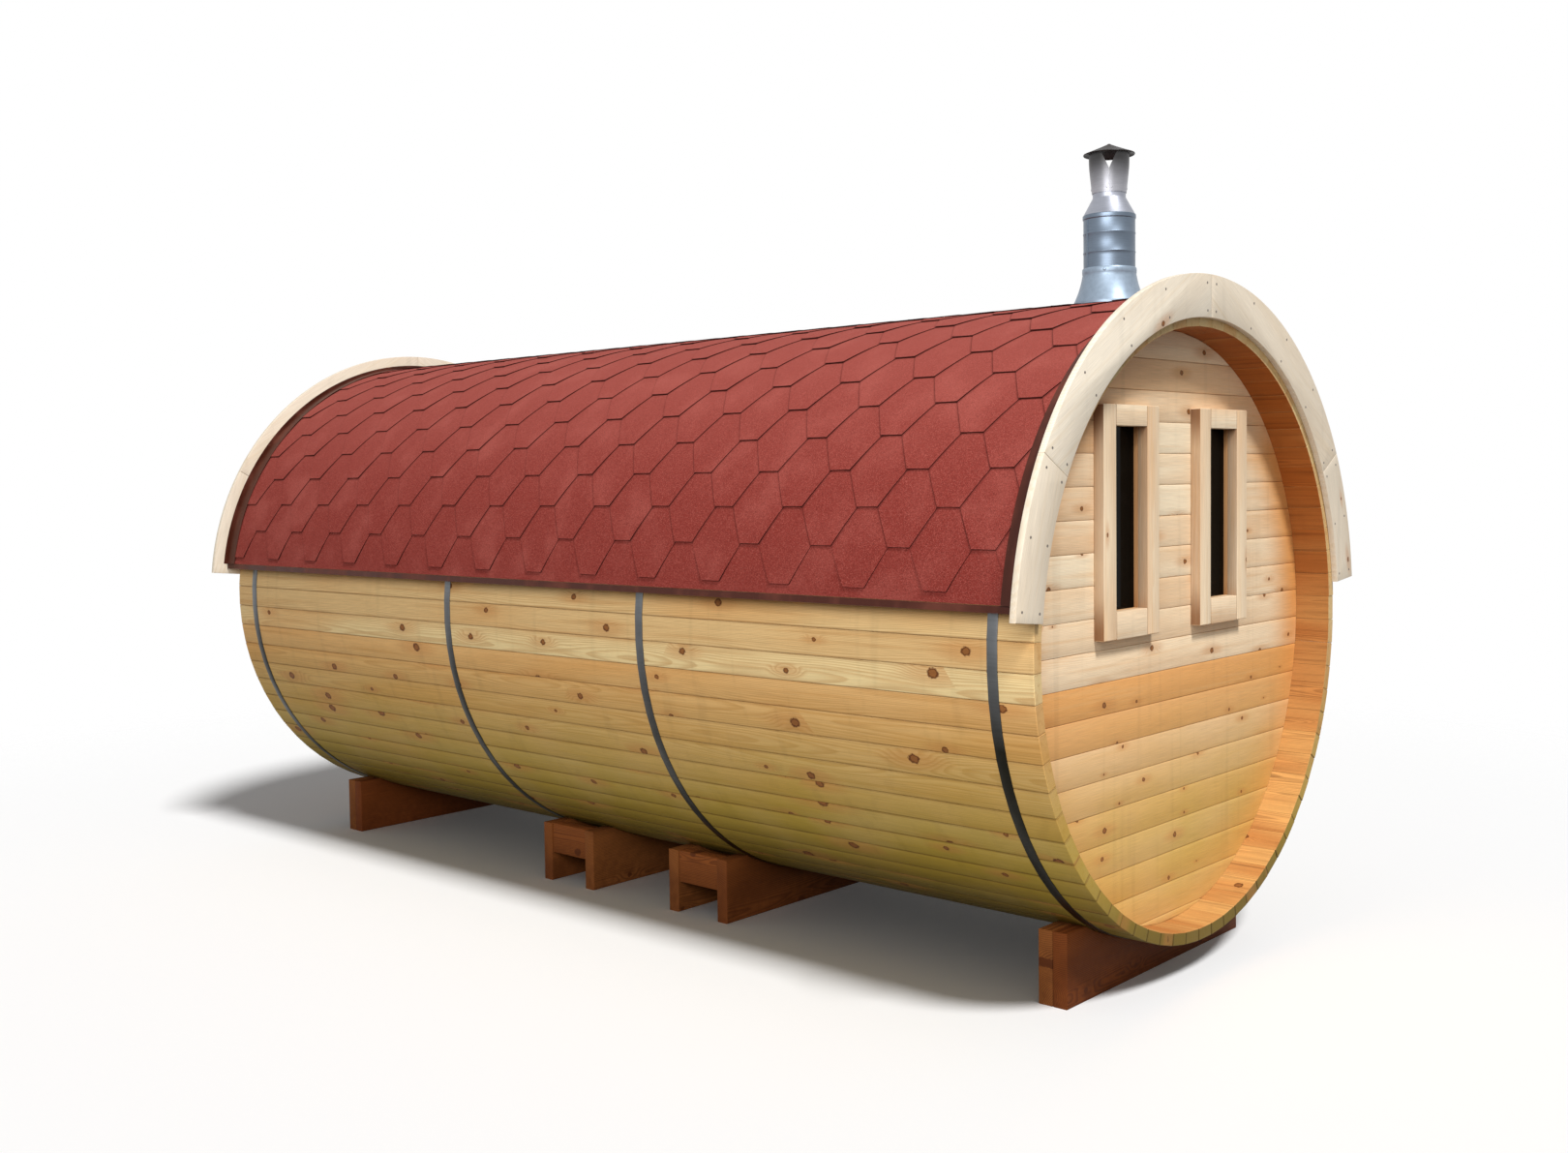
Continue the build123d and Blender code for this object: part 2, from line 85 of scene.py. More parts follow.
# Warmth of the wall boards above a height from the axis, and of the lowest ones: partly the boards' own tone,
# partly painted shade on the lower rows
ROW_WARMTH = ((0.8, 0.3), (-0.15, 0.1), (-0.27, 0.95), (-0.38, 0.88), (-0.7, 0.66))
LOW_WARMTH = 0.62

# Casing widths at the sides, the top and the bottom of a frame, and the thickness of its liner
WINDOW_CASING = (0.085, 0.073, 0.095)
WINDOW_LINER = 0.018
DOOR_CASING = (0.085, 0.085, 0.085)
DOOR_LINER = 0.024

# Radius of the flue's hole through the staves, and of the hole left in the shingles
FLUE_HOLE = 0.101
FLUE_CLEAR = 0.108

# Fits, fine rounding, and the height on a tab where its grit has no shadow band
HAIRLINE = 0.0004
SEAT = 0.0002
CASING_SEAT = 0.0003
FINE_EASE = 0.001
PLAIN_GRIT = 0.05

# How far apart the grain of two boards is drawn, and plain white
GRAIN_SHIFT = 37.0
WHITE = (1.0, 1.0, 1.0, 1.0)


def tone(red, green, blue):
    """Linear colour from the 0 to 255 values of a paint chart."""
    chart = (red / 255.0, green / 255.0, blue / 255.0)
    return tuple(c / 12.92 if c <= 0.04045 else ((c + 0.055) / 1.055) ** 2.4 for c in chart)


def colour_prop(name, description, default):
    """A colour that a user may change."""
    return FloatVectorProperty(
        name=name, description=description, default=default, subtype="COLOR", size=3, min=0.0, max=1.0
    )


def length_prop(name, description, default):
    """A length that a user may change, in metres."""
    return FloatProperty(
        name=name, description=description, default=default, min=0.0, unit="LENGTH", precision=4
    )


def angle_prop(name, description, default):
    """An angle that a user may change, given in degrees."""
    return FloatProperty(name=name, description=description, default=math.radians(default), subtype="ANGLE")


def level_prop(name, description, default):
    """A plain number that a user may change."""
    return FloatProperty(name=name, description=description, default=default, min=0.0)


class SaunaSizes(bpy.types.PropertyGroup):
    """Sizes of the sawn timber, the shingles and the sheet metal."""

    stave_thickness: length_prop("Stave thickness", "Thickness of the barrel's staves", 0.044)
    stave_arris: length_prop("Stave arris", "Rounding along the outer edges of a stave", 0.0035)
    joint_gap: length_prop("Joint gap", "Open line between two boards", 0.0008)
    board_pitch: length_prop("Board pitch", "Height of one wall board", 0.113)
    board_groove: length_prop("Board groove", "Bevel along the edges of a wall board", 0.0032)
    edge_ease: length_prop("Eased edge", "Rounding along the edges of planed timber", 0.0025)
    tab_pitch: length_prop("Tab pitch", "Width of one shingle tab with its cutout", 0.335)
    tab_foot: length_prop("Tab foot", "Width of the lower edge of a tab", 0.09)
    tab_shoulder: length_prop("Tab shoulder", "Width of a tab where its cutout ends", 0.244)
    row_turn: angle_prop("Row turn", "Turn round the barrel from one shingle row to the next", 6.63)
    first_row: angle_prop("First row", "Height of the lowest row of tabs above the axis", 9.57)
    shingle_sheet: length_prop("Shingle sheet", "Thickness of the shingle sheet", 0.0024)
    tab_curl: length_prop("Tab curl", "How far the lower corners of a tab lift", 0.0022)
    sheet_metal: length_prop("Sheet metal", "Thickness of folded sheet metal", 0.0015)


class SaunaColours(bpy.types.PropertyGroup):
    """Colours of the timber, the shingles, the metal and the glass."""

    stave_pale: colour_prop("Stave pale", "Palest staves", tone(240, 214, 158))
    stave_warm: colour_prop("Stave warm", "Warmest staves", tone(220, 158, 88))
    stave_late: colour_prop("Stave rings", "Late wood in the staves", tone(184, 128, 66))
    # Olive cast that darkens the lower staves and wall boards: partly a colour cast, partly painted shade.
    stave_olive_and_shade: colour_prop("Stave damp", "Olive cast of the lower staves", tone(182, 152, 48))
    # The inner faces are darker and more orange than the outer faces: painted shade with orange bounce light.
    inner_pale: colour_prop("Inner face", "Oiled inner face of the staves", tone(224, 172, 104))
    inner_warm: colour_prop("Inner face warm", "Warmest inner faces", tone(164, 80, 20))
    wall_pale: colour_prop("Wall pale", "Palest wall boards", tone(248, 232, 202))
    wall_warm: colour_prop("Wall warm", "Warmest wall boards", tone(220, 154, 84))
    wall_late: colour_prop("Wall rings", "Late wood in the wall boards", tone(222, 174, 118))
    casing_pale: colour_prop("Casing pale", "Window casings", tone(248, 230, 200))
    casing_warm: colour_prop("Casing warm", "Warmest window casings", tone(204, 150, 98))
    # Painted shade on the side faces of the window casings, most of all towards their ends.
    casing_edge: colour_prop("Casing edge", "Oiled edges of the window casings", tone(122, 74, 36))
    arch_pale: colour_prop("Arch pale", "Arch boards", tone(229, 220, 204))
    arch_warm: colour_prop("Arch warm", "Warmest arch boards", tone(221, 203, 179))
    arch_late: colour_prop("Arch rings", "Late wood in the arch boards", tone(212, 188, 152))
    deck_pale: colour_prop("Roof board", "Roof boards and ribs", tone(208, 172, 122))
    knot: colour_prop("Knot", "Knots in the pine", tone(92, 48, 22))
    halo: colour_prop("Knot halo", "Resin colour round a knot", tone(196, 132, 72))
    cradle_stain: colour_prop("Cradle stain", "Red-brown stain of the cradles", tone(120, 55, 19))
    cradle_dark: colour_prop("Cradle dark", "Dark grain of the stained cradles", tone(64, 27, 11))
    shingle_red: colour_prop("Shingle red", "Brick red grit", tone(125, 47, 40))
    shingle_dark: colour_prop("Shingle dark", "Dark grit of the shadow bands", tone(74, 26, 22))
    shingle_light: colour_prop("Shingle light", "Pale grains in the grit", tone(174, 94, 84))
    bitumen: colour_prop("Bitumen", "Cut edges of the shingles", tone(40, 15, 13))
    flashing: colour_prop("Flashing", "Painted flashings and drip edges", tone(62, 24, 12))
    flashing_worn: colour_prop("Flashing worn", "Worn paint of the flashings", tone(120, 66, 52))
    hoop_zinc: colour_prop("Hoop zinc", "Zinc on the hoops", tone(116, 118, 120))
    # Painted shade: darkens the barrel's foot, the lower parts of the hoops and the top of the sleeve under
    # the rain cap.
    grime: colour_prop("Grime", "Grime low on the staves and hoops, and soot", tone(24, 21, 11))
    chimney_steel: colour_prop("Chimney steel", "Steel of the chimney", tone(112, 124, 138))
    # Painted light: a brighter copy of the chimney steel, for the cone and the neck.
    neck_steel: colour_prop("Neck steel", "Brighter steel of the cone and neck", tone(160, 163, 173))
    sleeve_steel: colour_prop("Sleeve steel", "Steel of the sleeve under the cap", tone(168, 168, 174))
    screw_steel: colour_prop("Screw steel", "Screw heads and straps", tone(120, 112, 104))
    collar_zinc: colour_prop("Collar zinc", "Pale metal of the collar", tone(140, 156, 172))
    # Painted shade: the rain cap is drawn black for the shade of its underside.
    cap_shade_black: colour_prop("Cap paint", "Black paint of the rain cap", tone(25, 21, 20))
    cap_worn: colour_prop("Cap worn", "Worn paint of the rain cap", tone(70, 64, 62))
    pane: colour_prop("Pane", "Dark glass", tone(9, 7, 5))
    floor: colour_prop("Floor", "Studio floor", (0.96, 0.96, 0.96))


class SaunaStage(bpy.types.PropertyGroup):
    """Camera and light."""

    camera_place: FloatVectorProperty(
        name="Camera place",
        description="Where the camera stands",
        default=(-5.2032, -5.0342, 1.846),
        subtype="TRANSLATION",
        unit="LENGTH",
    )
    camera_yaw: angle_prop("Camera yaw", "Turn of the view from +Y towards +X", 47.797)
    camera_pitch: angle_prop("Camera pitch", "Tilt of the view above the horizon", -2.883)
    camera_roll: angle_prop("Camera roll", "Lean of the camera", -0.767)
    key_strength: level_prop("Key light", "Strength of the soft light from above", 2.95)
    fill_strength: level_prop("Fill light", "Power of the broad light beside the barrel, in watts", 560.0)
    room_strength: level_prop("Room light", "Strength of the even light all round", 0.22)


# Shader nodes


class Graph:
    """Adds shader nodes to one tree and joins them."""

    def __init__(self, tree):
        self.tree = tree

    def feed(self, socket, value):
        if isinstance(value, bpy.types.NodeSocket):
            self.tree.links.new(value, socket)
        else:
            socket.default_value = value

    def node(self, kind, inputs=None, **settings):
        made = self.tree.nodes.new(kind)
        for name, value in settings.items():
            setattr(made, name, value)
        for name, value in (inputs or {}).items():
            self.feed(made.inputs[name], value)
        return made

    def math(self, operation, *values, clamp=False):
        inputs = dict(enumerate(values))
        return self.node("ShaderNodeMath", inputs, operation=operation, use_clamp=clamp).outputs[0]

    def times(self, first, second):
        return self.math("MULTIPLY", first, second)

    def less(self, first, second):
        return self.math("SUBTRACT", first, second)

    def scale_add(self, value, scale, offset):
        return self.math("MULTIPLY_ADD", value, scale, offset)

    def length(self, first, second):
        squares = self.math("ADD", self.times(first, first), self.times(second, second))
        return self.math("SQRT", squares)

    def mix(self, factor, first, second, blend="MIX"):
        inputs = {0: factor, 6: first, 7: second}
        return self.node("ShaderNodeMix", inputs, data_type="RGBA", blend_type=blend).outputs[2]

    def coat(self, body, colour, mask, share):
        """Lays a colour of the palette over another colour, by a share of a mask."""
        return self.mix(self.times(mask, share), body, paint(colour))

    def shaded(self, body, shade):
        return self.mix(1.0, body, self.joined(shade, shade, shade), "MULTIPLY")

    def spread(self, value, low, high, start=0.0, stop=1.0):
        """Eases from start to stop while a value goes from low to high."""
        inputs = dict(enumerate((value, low, high, start, stop)))
        return self.node("ShaderNodeMapRange", inputs, interpolation_type="SMOOTHSTEP").outputs[0]

    def scaled(self, vector, x, y, z):
        return self.node("ShaderNodeVectorMath", {0: vector, 1: (x, y, z)}, operation="MULTIPLY").outputs[0]

    def noise(self, vector, scale=1.0, detail=2.0):
        inputs = {"Vector": vector, "Scale": scale, "Detail": detail}
        return self.node("ShaderNodeTexNoise", inputs).outputs[0]

    def draw(self, number):
        """A random share for each different number."""
        return self.node("ShaderNodeTexWhiteNoise", {"W": number}, noise_dimensions="1D").outputs["Value"]

    def draws(self, colour):
        """Three random shares from a random colour."""
        return self.node("ShaderNodeSeparateColor", {"Color": colour}).outputs

    def parts(self, vector):
        return self.node("ShaderNodeSeparateXYZ", {"Vector": vector}).outputs

    def joined(self, x, y, z):
        return self.node("ShaderNodeCombineXYZ", {"X": x, "Y": y, "Z": z}).outputs[0]

    def attribute(self, name, output="Fac"):
        return self.node("ShaderNodeAttribute", attribute_name=name).outputs[output]

    def place(self, output="Object"):
        return self.node("ShaderNodeTexCoord").outputs[output]

    def section(self):
        """Sideways place, height above the barrel's axis and height above the ground."""
        place = self.parts(self.place())
        return place[0], self.less(place[2], AXIS), place[2]

    def group(self, tree, inputs):
        return self.node("ShaderNodeGroup", inputs, node_tree=tree).outputs

    def bump(self, shader, height, strength, distance):
        """Relief of a surface."""
        inputs = {"Height": height, "Strength": strength, "Distance": distance}
        self.feed(shader["Normal"], self.node("ShaderNodeBump", inputs).outputs[0])


def paint(name, shade=1.0):
    """A colour of the palette as a socket value, darker or paler by a share."""
    colour = getattr(bpy.context.scene.sauna_colours, name)
    return (*(part * shade for part in colour), 1.0)


def named(library):
    """Gives a material or node group by its function's name, built the first time it is asked for."""

    def wrap(build):
        name = build.__name__.replace("_", " ")
        return lambda: getattr(bpy.data, library).get(name) or build(name)

    return wrap


def cleared(owner):
    """The empty node tree of a material or a world."""
    owner.use_nodes = True
    owner.node_tree.nodes.clear()
    return Graph(owner.node_tree)


def new_group(name, vectors, values, outputs):
    """An empty shader group with its sockets, its graph, and its input and output nodes."""
    tree = bpy.data.node_groups.new(name, "ShaderNodeTree")
    for socket in vectors:
        tree.interface.new_socket(socket, in_out="INPUT", socket_type="NodeSocketVector")
    for socket, default in values.items():
        made = tree.interface.new_socket(socket, in_out="INPUT", socket_type="NodeSocketFloat")
        made.default_value = default
    for socket in outputs:
        tree.interface.new_socket(socket, in_out="OUTPUT", socket_type="NodeSocketFloat")
    g = Graph(tree)
    return tree, g, g.node("NodeGroupInput").outputs, g.node("NodeGroupOutput").inputs


@named("node_groups")
def pine_figure(name):
    """Growth rings, fibres, knots and halos of a sawn pine board, from its grain frame."""
    values = {"Board": 0.5, "Ring Width": 0.0045, "Knots": 0.5, "Knot Radius": 0.011}
    outputs = ("Ring", "Fibre", "Streak", "Knot", "Rim", "Halo", "Tone")
    tree, g, given, out = new_group(name, ["Grain"], values, outputs)
    grain, board = given["Grain"], given["Board"]
    along, across, depth = g.parts(grain)

    cell_along, cell_across = 2.3, 9.5
    shifted = g.scale_add(board, 19.0, g.times(across, cell_across))
    cell = g.joined(g.times(along, cell_along), shifted, 0.0)
    spots = g.node("ShaderNodeTexVoronoi", {"Vector": cell, "Scale": 1.0}, voronoi_dimensions="2D").outputs
    off = g.node("ShaderNodeVectorMath", {0: cell, 1: spots["Position"]}, operation="SUBTRACT").outputs[0]
    off_along, off_across = g.parts(off)[:2]
    off_along = g.math("DIVIDE", off_along, cell_along)
    off_across = g.math("DIVIDE", off_across, cell_across)
    draws = g.draws(spots["Color"])
    radius = g.times(given["Knot Radius"], g.scale_add(draws[0], 1.0, 0.4))
    there = g.math("LESS_THAN", draws[1], given["Knots"])

    def reach(stretch):
        return g.math("DIVIDE", g.length(g.times(off_along, stretch), off_across), radius)

    near = g.math("ADD", reach(0.8), g.scale_add(g.noise(grain, 90.0), 0.9, -0.45))
    rim = g.times(g.spread(near, 0.55, 0.85), g.spread(near, 1.15, 0.95))
    halo = g.times(there, g.spread(reach(0.3), 3.4, 0.8))
    g.feed(out["Knot"], g.times(there, g.spread(near, 1.0, 0.8)))
    g.feed(out["Rim"], g.times(there, rim))
    g.feed(out["Halo"], halo)

    waver = g.scale_add(g.noise(g.scaled(grain, 0.55, 2.0, 2.0), 1.0, 1.5), 0.09, -0.045)
    side = g.less(across, g.scale_add(g.draw(board), 0.15, -0.075))
    down = g.math("ADD", g.less(depth, g.scale_add(board, -0.06, -0.012)), waver)
    swell = g.times(g.times(halo, halo), 0.012)
    rings = g.math("DIVIDE", g.math("ADD", g.length(side, down), swell), given["Ring Width"])
    phase = g.math("FRACT", g.scale_add(g.noise(g.scaled(grain, 3.0, 26.0, 26.0)), 0.7, rings))
    g.feed(out["Ring"], g.times(g.spread(phase, 0.25, 0.85), g.spread(phase, 1.0, 0.9)))

    g.feed(out["Fibre"], g.noise(g.scaled(grain, 9.0, 700.0, 700.0)))
    g.feed(out["Streak"], g.noise(g.scaled(grain, 1.3, 55.0, 55.0)))
    g.feed(out["Tone"], g.noise(g.scaled(grain, 0.8, 5.0, 5.0)))
    return tree


@named("node_groups")
def weather(name):
    """A mottled mask that grows low down, for an olive cast, painted shade and seam dirt, with rain streaks
    and splashes, from the place on the building.
    """
    values = {"Damp Top": 1.0, "Damp Foot": 0.25}
    tree, g, given, out = new_group(name, ["Place"], values, ("Damp", "Streaks", "Splash"))
    place = given["Place"]
    height = g.parts(place)[2]
    rise = g.spread(height, given["Damp Top"], given["Damp Foot"])
    mottle = g.scale_add(g.noise(place, 2.6, 3.0), 0.9, 0.5)
    g.feed(out["Damp"], g.math("MULTIPLY", rise, mottle, clamp=True))
    g.feed(out["Streaks"], g.spread(g.noise(g.scaled(place, 16.0, 16.0, 0.9), 1.0, 3.0), 0.5, 0.75))
    g.feed(out["Splash"], g.times(g.spread(height, 0.3, 0.0), g.noise(place, 30.0, 3.0)))
    return tree


@named("node_groups")
def brushed_sheet(name):
    """Fine brush lines, dull patches and scratches of sheet metal."""
    tree, g, given, out = new_group(name, ["Place", "Lines"], {}, ("Brush", "Patches", "Scratches"))
    g.feed(out["Brush"], g.noise(given["Lines"], 1.0, 3.0))
    g.feed(out["Patches"], g.noise(given["Place"], 7.0, 3.0))
    marks = g.noise(g.scaled(given["Place"], 30.0, 240.0, 60.0))
    g.feed(out["Scratches"], g.spread(marks, 0.68, 0.74))
    return tree


# Materials


def new_material(name):
    """A material with one Principled shader, its graph and the shader's sockets."""
    material = bpy.data.materials.new(name)
    g = cleared(material)
    shader = g.node("ShaderNodeBsdfPrincipled")
    g.node("ShaderNodeOutputMaterial", {"Surface": shader.outputs[0]})
    return material, g, shader.inputs


def seam_dirt_and_foot_shade(g, body, air):
    """Dirt along the seams between the staves, and painted shade that darkens the barrel's foot."""
    x, rise, height = g.section()
    turn = g.math("ARCTAN2", rise, x)
    share = g.math("FRACT", g.scale_add(turn, STAVES / math.tau, STAVES))
    dirt = g.spread(g.math("ABSOLUTE", g.less(share, 0.5)), 0.07, 0.02)
    dirt = g.times(dirt, g.scale_add(air["Damp"], 0.7, 0.3))
    body = g.coat(body, "cradle_dark", dirt, 0.6)
    # Painted shade at the barrel's foot, darker towards the ground.
    return g.mix(g.spread(height, 0.6, 0.2, 0.0, 0.6), body, paint("grime"))


def painted_rim_light_and_shade(g, body, air):
    """Painted shade and orange bounce light on the wall boards near the staves, weaker low down and none at
    the very top.
    """
    x, rise = g.section()[:2]
    near = g.spread(g.length(x, rise), 0.7 * BARREL, 0.95 * BARREL)
    near = g.times(near, g.spread(rise, -0.5, 0.1, 0.3, 1.0))
    near = g.times(near, g.spread(rise, 0.95, 0.6))
    return g.coat(body, "wall_warm", near, 0.95)


def painted_casing_side_shade(g, body, air):
    """Painted shade on the side faces of the window casings, brown, most of all towards their ends."""
    low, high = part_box("right_window_frame")
    half = (high.z - low.z) / 2
    far = g.math("ABSOLUTE", g.less(g.parts(g.place())[2], low.z + half))
    shade_toward_ends = g.spread(far, half - 0.17, half - 0.02, 0.45, 1.0)
    sideways = g.math("ABSOLUTE", g.parts(g.place("Normal"))[0])
    return g.coat(body, "casing_edge", g.times(shade_toward_ends, g.spread(sideways, 0.6, 0.9)), 0.85)


def pine(
    name,
    pale,
    warm,
    late,
    knots=0.5,
    knot_radius=0.011,
    ring=0.42,
    patchy=0.55,
    damp=0.0,
    painted_shade_climb=0.0,
    solid_grain=0.0,
    layer=None,
):
    """Planed pine with rings, knots and weather, and one layer of its own.

    Painted shade climb moves what lies higher towards the warm colour. A solid grain is one board's turn, for
    pieces without a grain frame.
    """
    material, g, shader = new_material(name)
    grain = g.attribute("grain", "Vector")
    board = g.attribute("board")
    tint = g.attribute("tint")
    if solid_grain:
        x, rise, height = g.section()
        grain = g.joined(g.parts(g.place())[1], height, x)
        board = g.draw(g.math("FLOOR", g.math("DIVIDE", g.math("ARCTAN2", rise, x), solid_grain)))
    if painted_shade_climb:
        tint = g.scale_add(tint, 0.3, g.spread(g.section()[1], -0.85, 0.85, 0.0, painted_shade_climb))
    given = {"Grain": grain, "Board": board, "Knots": knots, "Knot Radius": knot_radius}
    figure = g.group(pine_figure(), given)
    air = g.group(weather(), {"Place": g.place(), "Damp Top": 1.2, "Damp Foot": 0.4})
    body = g.mix(tint, paint(pale), paint(warm))
    body = g.coat(body, warm, g.spread(figure["Tone"], 0.42, 0.72), patchy)
    body = g.coat(body, late, figure["Ring"], ring)
    body = g.coat(body, late, g.spread(figure["Streak"], 0.5, 0.75), 0.35)
    # Olive cast that darkens low down: partly a colour cast, partly painted shade.
    if damp:
        body = g.coat(body, "stave_olive_and_shade", air["Damp"], damp)
    if layer:
        body = layer(g, body, air)
    body = g.coat(body, "halo", figure["Halo"], 0.4)
    core = g.mix(figure["Rim"], paint("halo"), paint("knot"))
    body = g.mix(figure["Knot"], body, g.mix(0.62, core, paint("knot")))
    body = g.coat(body, "knot", figure["Rim"], 0.6)
    fibre = g.spread(figure["Fibre"], 0.25, 0.75, 0.86, 1.08)
    shade = g.times(fibre, g.spread(air["Streaks"], 0.0, 1.0, 1.0, 0.93))
    shade = g.times(shade, g.spread(g.attribute("end_grain"), 0.0, 1.0, 1.0, 0.84))
    g.feed(shader["Base Color"], g.shaded(body, shade))
    rough = g.scale_add(figure["Fibre"], 0.2, 0.48)
    g.feed(shader["Roughness"], g.scale_add(figure["Ring"], -0.08, rough))
    relief = g.scale_add(figure["Ring"], 0.5, g.times(figure["Fibre"], 0.5))
    g.bump(shader, g.scale_add(figure["Knot"], 0.4, relief), 0.35, 0.0006)
    shader["Specular IOR Level"].default_value = 0.12
    return material


@named("materials")
def stave_pine(name):
    knots = {"knots": 0.42, "knot_radius": 0.015}
    return pine(name, "stave_pale", "stave_warm", "stave_late", damp=0.9, layer=seam_dirt_and_foot_shade, **knots)


@named("materials")
def inner_pine_painted_shade(name):
    # Painted shade and bounce light on the inner faces, darker higher up.
    return pine(name, "inner_pale", "inner_warm", "cradle_dark", ring=0.34, painted_shade_climb=0.85)


@named("materials")
def wall_pine(name):
    figure = {"knots": 0.68, "knot_radius": 0.0085, "ring": 0.36, "patchy": 0.36}
    return pine(name, "wall_pale", "wall_warm", "wall_late", damp=0.62, layer=painted_rim_light_and_shade, **figure)


@named("materials")
def casing_pine(name):
    return pine(name, "casing_pale", "casing_warm", "wall_late", 0.2, 0.006, 0.28)


@named("materials")
def window_pine(name):
    return pine(name, "casing_pale", "casing_warm", "wall_late", 0.2, 0.006, 0.28, layer=painted_casing_side_shade)


@named("materials")
def arch_pine(name):
    return pine(name, "arch_pale", "arch_warm", "arch_late", 0.22, 0.008, 0.3)


@named("materials")
def roof_board_pine(name):
    return pine(name, "deck_pale", "stave_warm", "stave_late", solid_grain=0.1036)


@named("materials")
def stained_timber(name):
    """Red-brown stain that has sunk into sawn softwood, with pale end grain and splashes."""
    material, g, shader = new_material(name)
    given = {"Grain": g.attribute("grain", "Vector"), "Board": g.attribute("board"), "Ring Width": 0.006}
    given.update({"Knots": 0.35, "Knot Radius": 0.016})
    figure = g.group(pine_figure(), given)
    air = g.group(weather(), {"Place": g.place()})
    body = g.mix(g.attribute("tint"), paint("cradle_stain"), paint("stave_warm"))
    body = g.coat(body, "cradle_dark", figure["Ring"], 0.55)
    body = g.coat(body, "cradle_dark", g.spread(figure["Tone"], 0.45, 0.7), 0.4)
    body = g.coat(body, "stave_warm", g.attribute("end_grain"), 0.3)
    body = g.mix(figure["Knot"], body, paint("knot"))
    body = g.coat(body, "cradle_dark", air["Splash"], 0.7)
    g.feed(shader["Base Color"], g.shaded(body, g.spread(figure["Fibre"], 0.25, 0.75, 0.78, 1.1)))
    g.feed(shader["Roughness"], g.scale_add(figure["Fibre"], 0.25, 0.5))
    shader["Specular IOR Level"].default_value = 0.1
    g.bump(shader, g.scale_add(figure["Ring"], 0.4, figure["Fibre"]), 0.45, 0.001)
    return material


@named("materials")
def shingle_grit(name):
    """Brick-red mineral grit, drawn lighter towards the ridge as painted light, with a dark shadow band where
    the next row's tabs lie over it.
    """
    sizes = bpy.context.scene.sauna_sizes
    material, g, shader = new_material(name)
    place = g.place()
    along, up = g.parts(g.attribute("grain", "Vector"))[:2]
    row_rise = COVER_OUTER * sizes.row_turn
    slope = (sizes.tab_shoulder - sizes.tab_foot) / 2 / row_rise
    over = g.less(up, row_rise)
    beside = g.math("ABSOLUTE", g.less(sizes.tab_pitch / 2, g.math("ABSOLUTE", along)))
    outside = g.less(beside, g.scale_add(over, slope, sizes.tab_foot / 2))
    outside = g.math("DIVIDE", outside, math.hypot(1.0, slope))
    ragged = g.scale_add(g.noise(place, 60.0), 0.006, -0.003)
    under_foot = g.times(g.spread(g.less(ragged, over), 0.024, 0.006), g.spread(outside, 0.012, -0.004))
    along_slant = g.spread(g.math("ADD", outside, ragged), 0.009, 0.0)
    along_slant = g.times(along_slant, g.spread(over, -0.01, 0.0, 0.0, 0.45))
    band = g.math("MAXIMUM", under_foot, along_slant)
    grains = g.node("ShaderNodeTexVoronoi", {"Vector": place, "Scale": 520.0}).outputs
    draws = g.draws(grains["Color"])
    body = g.mix(g.times(g.attribute("board"), 0.28), paint("shingle_red"), paint("shingle_dark"))
    body = g.coat(body, "shingle_light", g.spread(g.noise(place, 5.0, 3.0), 0.45, 0.75), 0.3)
    body = g.coat(body, "shingle_dark", g.spread(draws[0], 0.6, 0.95), 0.6)
    body = g.coat(body, "shingle_light", g.spread(draws[1], 0.7, 0.95), 0.55)
    # Painted light: the grit is drawn lighter towards the ridge.
    painted_ridge_light = g.spread(g.parts(place)[2], AXIS + 0.4, AXIS + COVER_OUTER, 0.0, 0.34)
    body = g.mix(painted_ridge_light, body, paint("shingle_light"))
    g.feed(shader["Base Color"], g.coat(body, "shingle_dark", band, 0.85))
    g.feed(shader["Roughness"], g.spread(draws[2], 0.0, 1.0, 0.75, 0.98))
    shader["Specular IOR Level"].default_value = 0.1
    shader["Sheen Weight"].default_value = 0.22
    shader["Sheen Roughness"].default_value = 0.5
    shader["Sheen Tint"].default_value = paint("shingle_light")
    g.bump(shader, g.less(draws[2], grains["Distance"]), 0.5, 0.0012)
    return material


@named("materials")
def bitumen_edge(name):
    """Cut edge of a shingle: dark bitumen with the felt showing."""
    material, g, shader = new_material(name)
    fleck = g.noise(g.place(), 900.0)
    g.feed(shader["Base Color"], g.mix(g.spread(fleck, 0.5, 0.7), paint("bitumen"), paint("shingle_dark")))
    g.feed(shader["Roughness"], g.spread(fleck, 0.3, 0.7, 0.7, 0.95))
    shader["Specular IOR Level"].default_value = 0.1
    g.bump(shader, fleck, 0.4, 0.0008)
    return material


def painted_sheet(name, colour, worn):
    """Painted sheet metal with dust in patches and paint rubbed thin."""
    material, g, shader = new_material(name)
    place = g.place()
    sheet = g.group(brushed_sheet(), {"Place": place, "Lines": g.scaled(place, 90.0, 6.0, 90.0)})
    air = g.group(weather(), {"Place": place})
    body = g.coat(paint(colour), worn, g.spread(sheet["Patches"], 0.45, 0.75), 0.35)
    body = g.coat(body, worn, sheet["Scratches"], 0.3)
    g.feed(shader["Base Color"], g.coat(body, worn, air["Streaks"], 0.2))
    g.feed(shader["Roughness"], g.spread(sheet["Patches"], 0.3, 0.75, 0.34, 0.58))
    shader["Specular IOR Level"].default_value = 0.2
    g.bump(shader, sheet["Patches"], 0.15, 0.002)
    return material


@named("materials")
# The cap's black is painted shade of its underside; the worn patches are wear.
def cap_shade_black(name):
    return painted_sheet(name, "cap_shade_black", "cap_worn")


@named("materials")
def flashing_paint(name):
    return painted_sheet(name, "flashing", "flashing_worn")


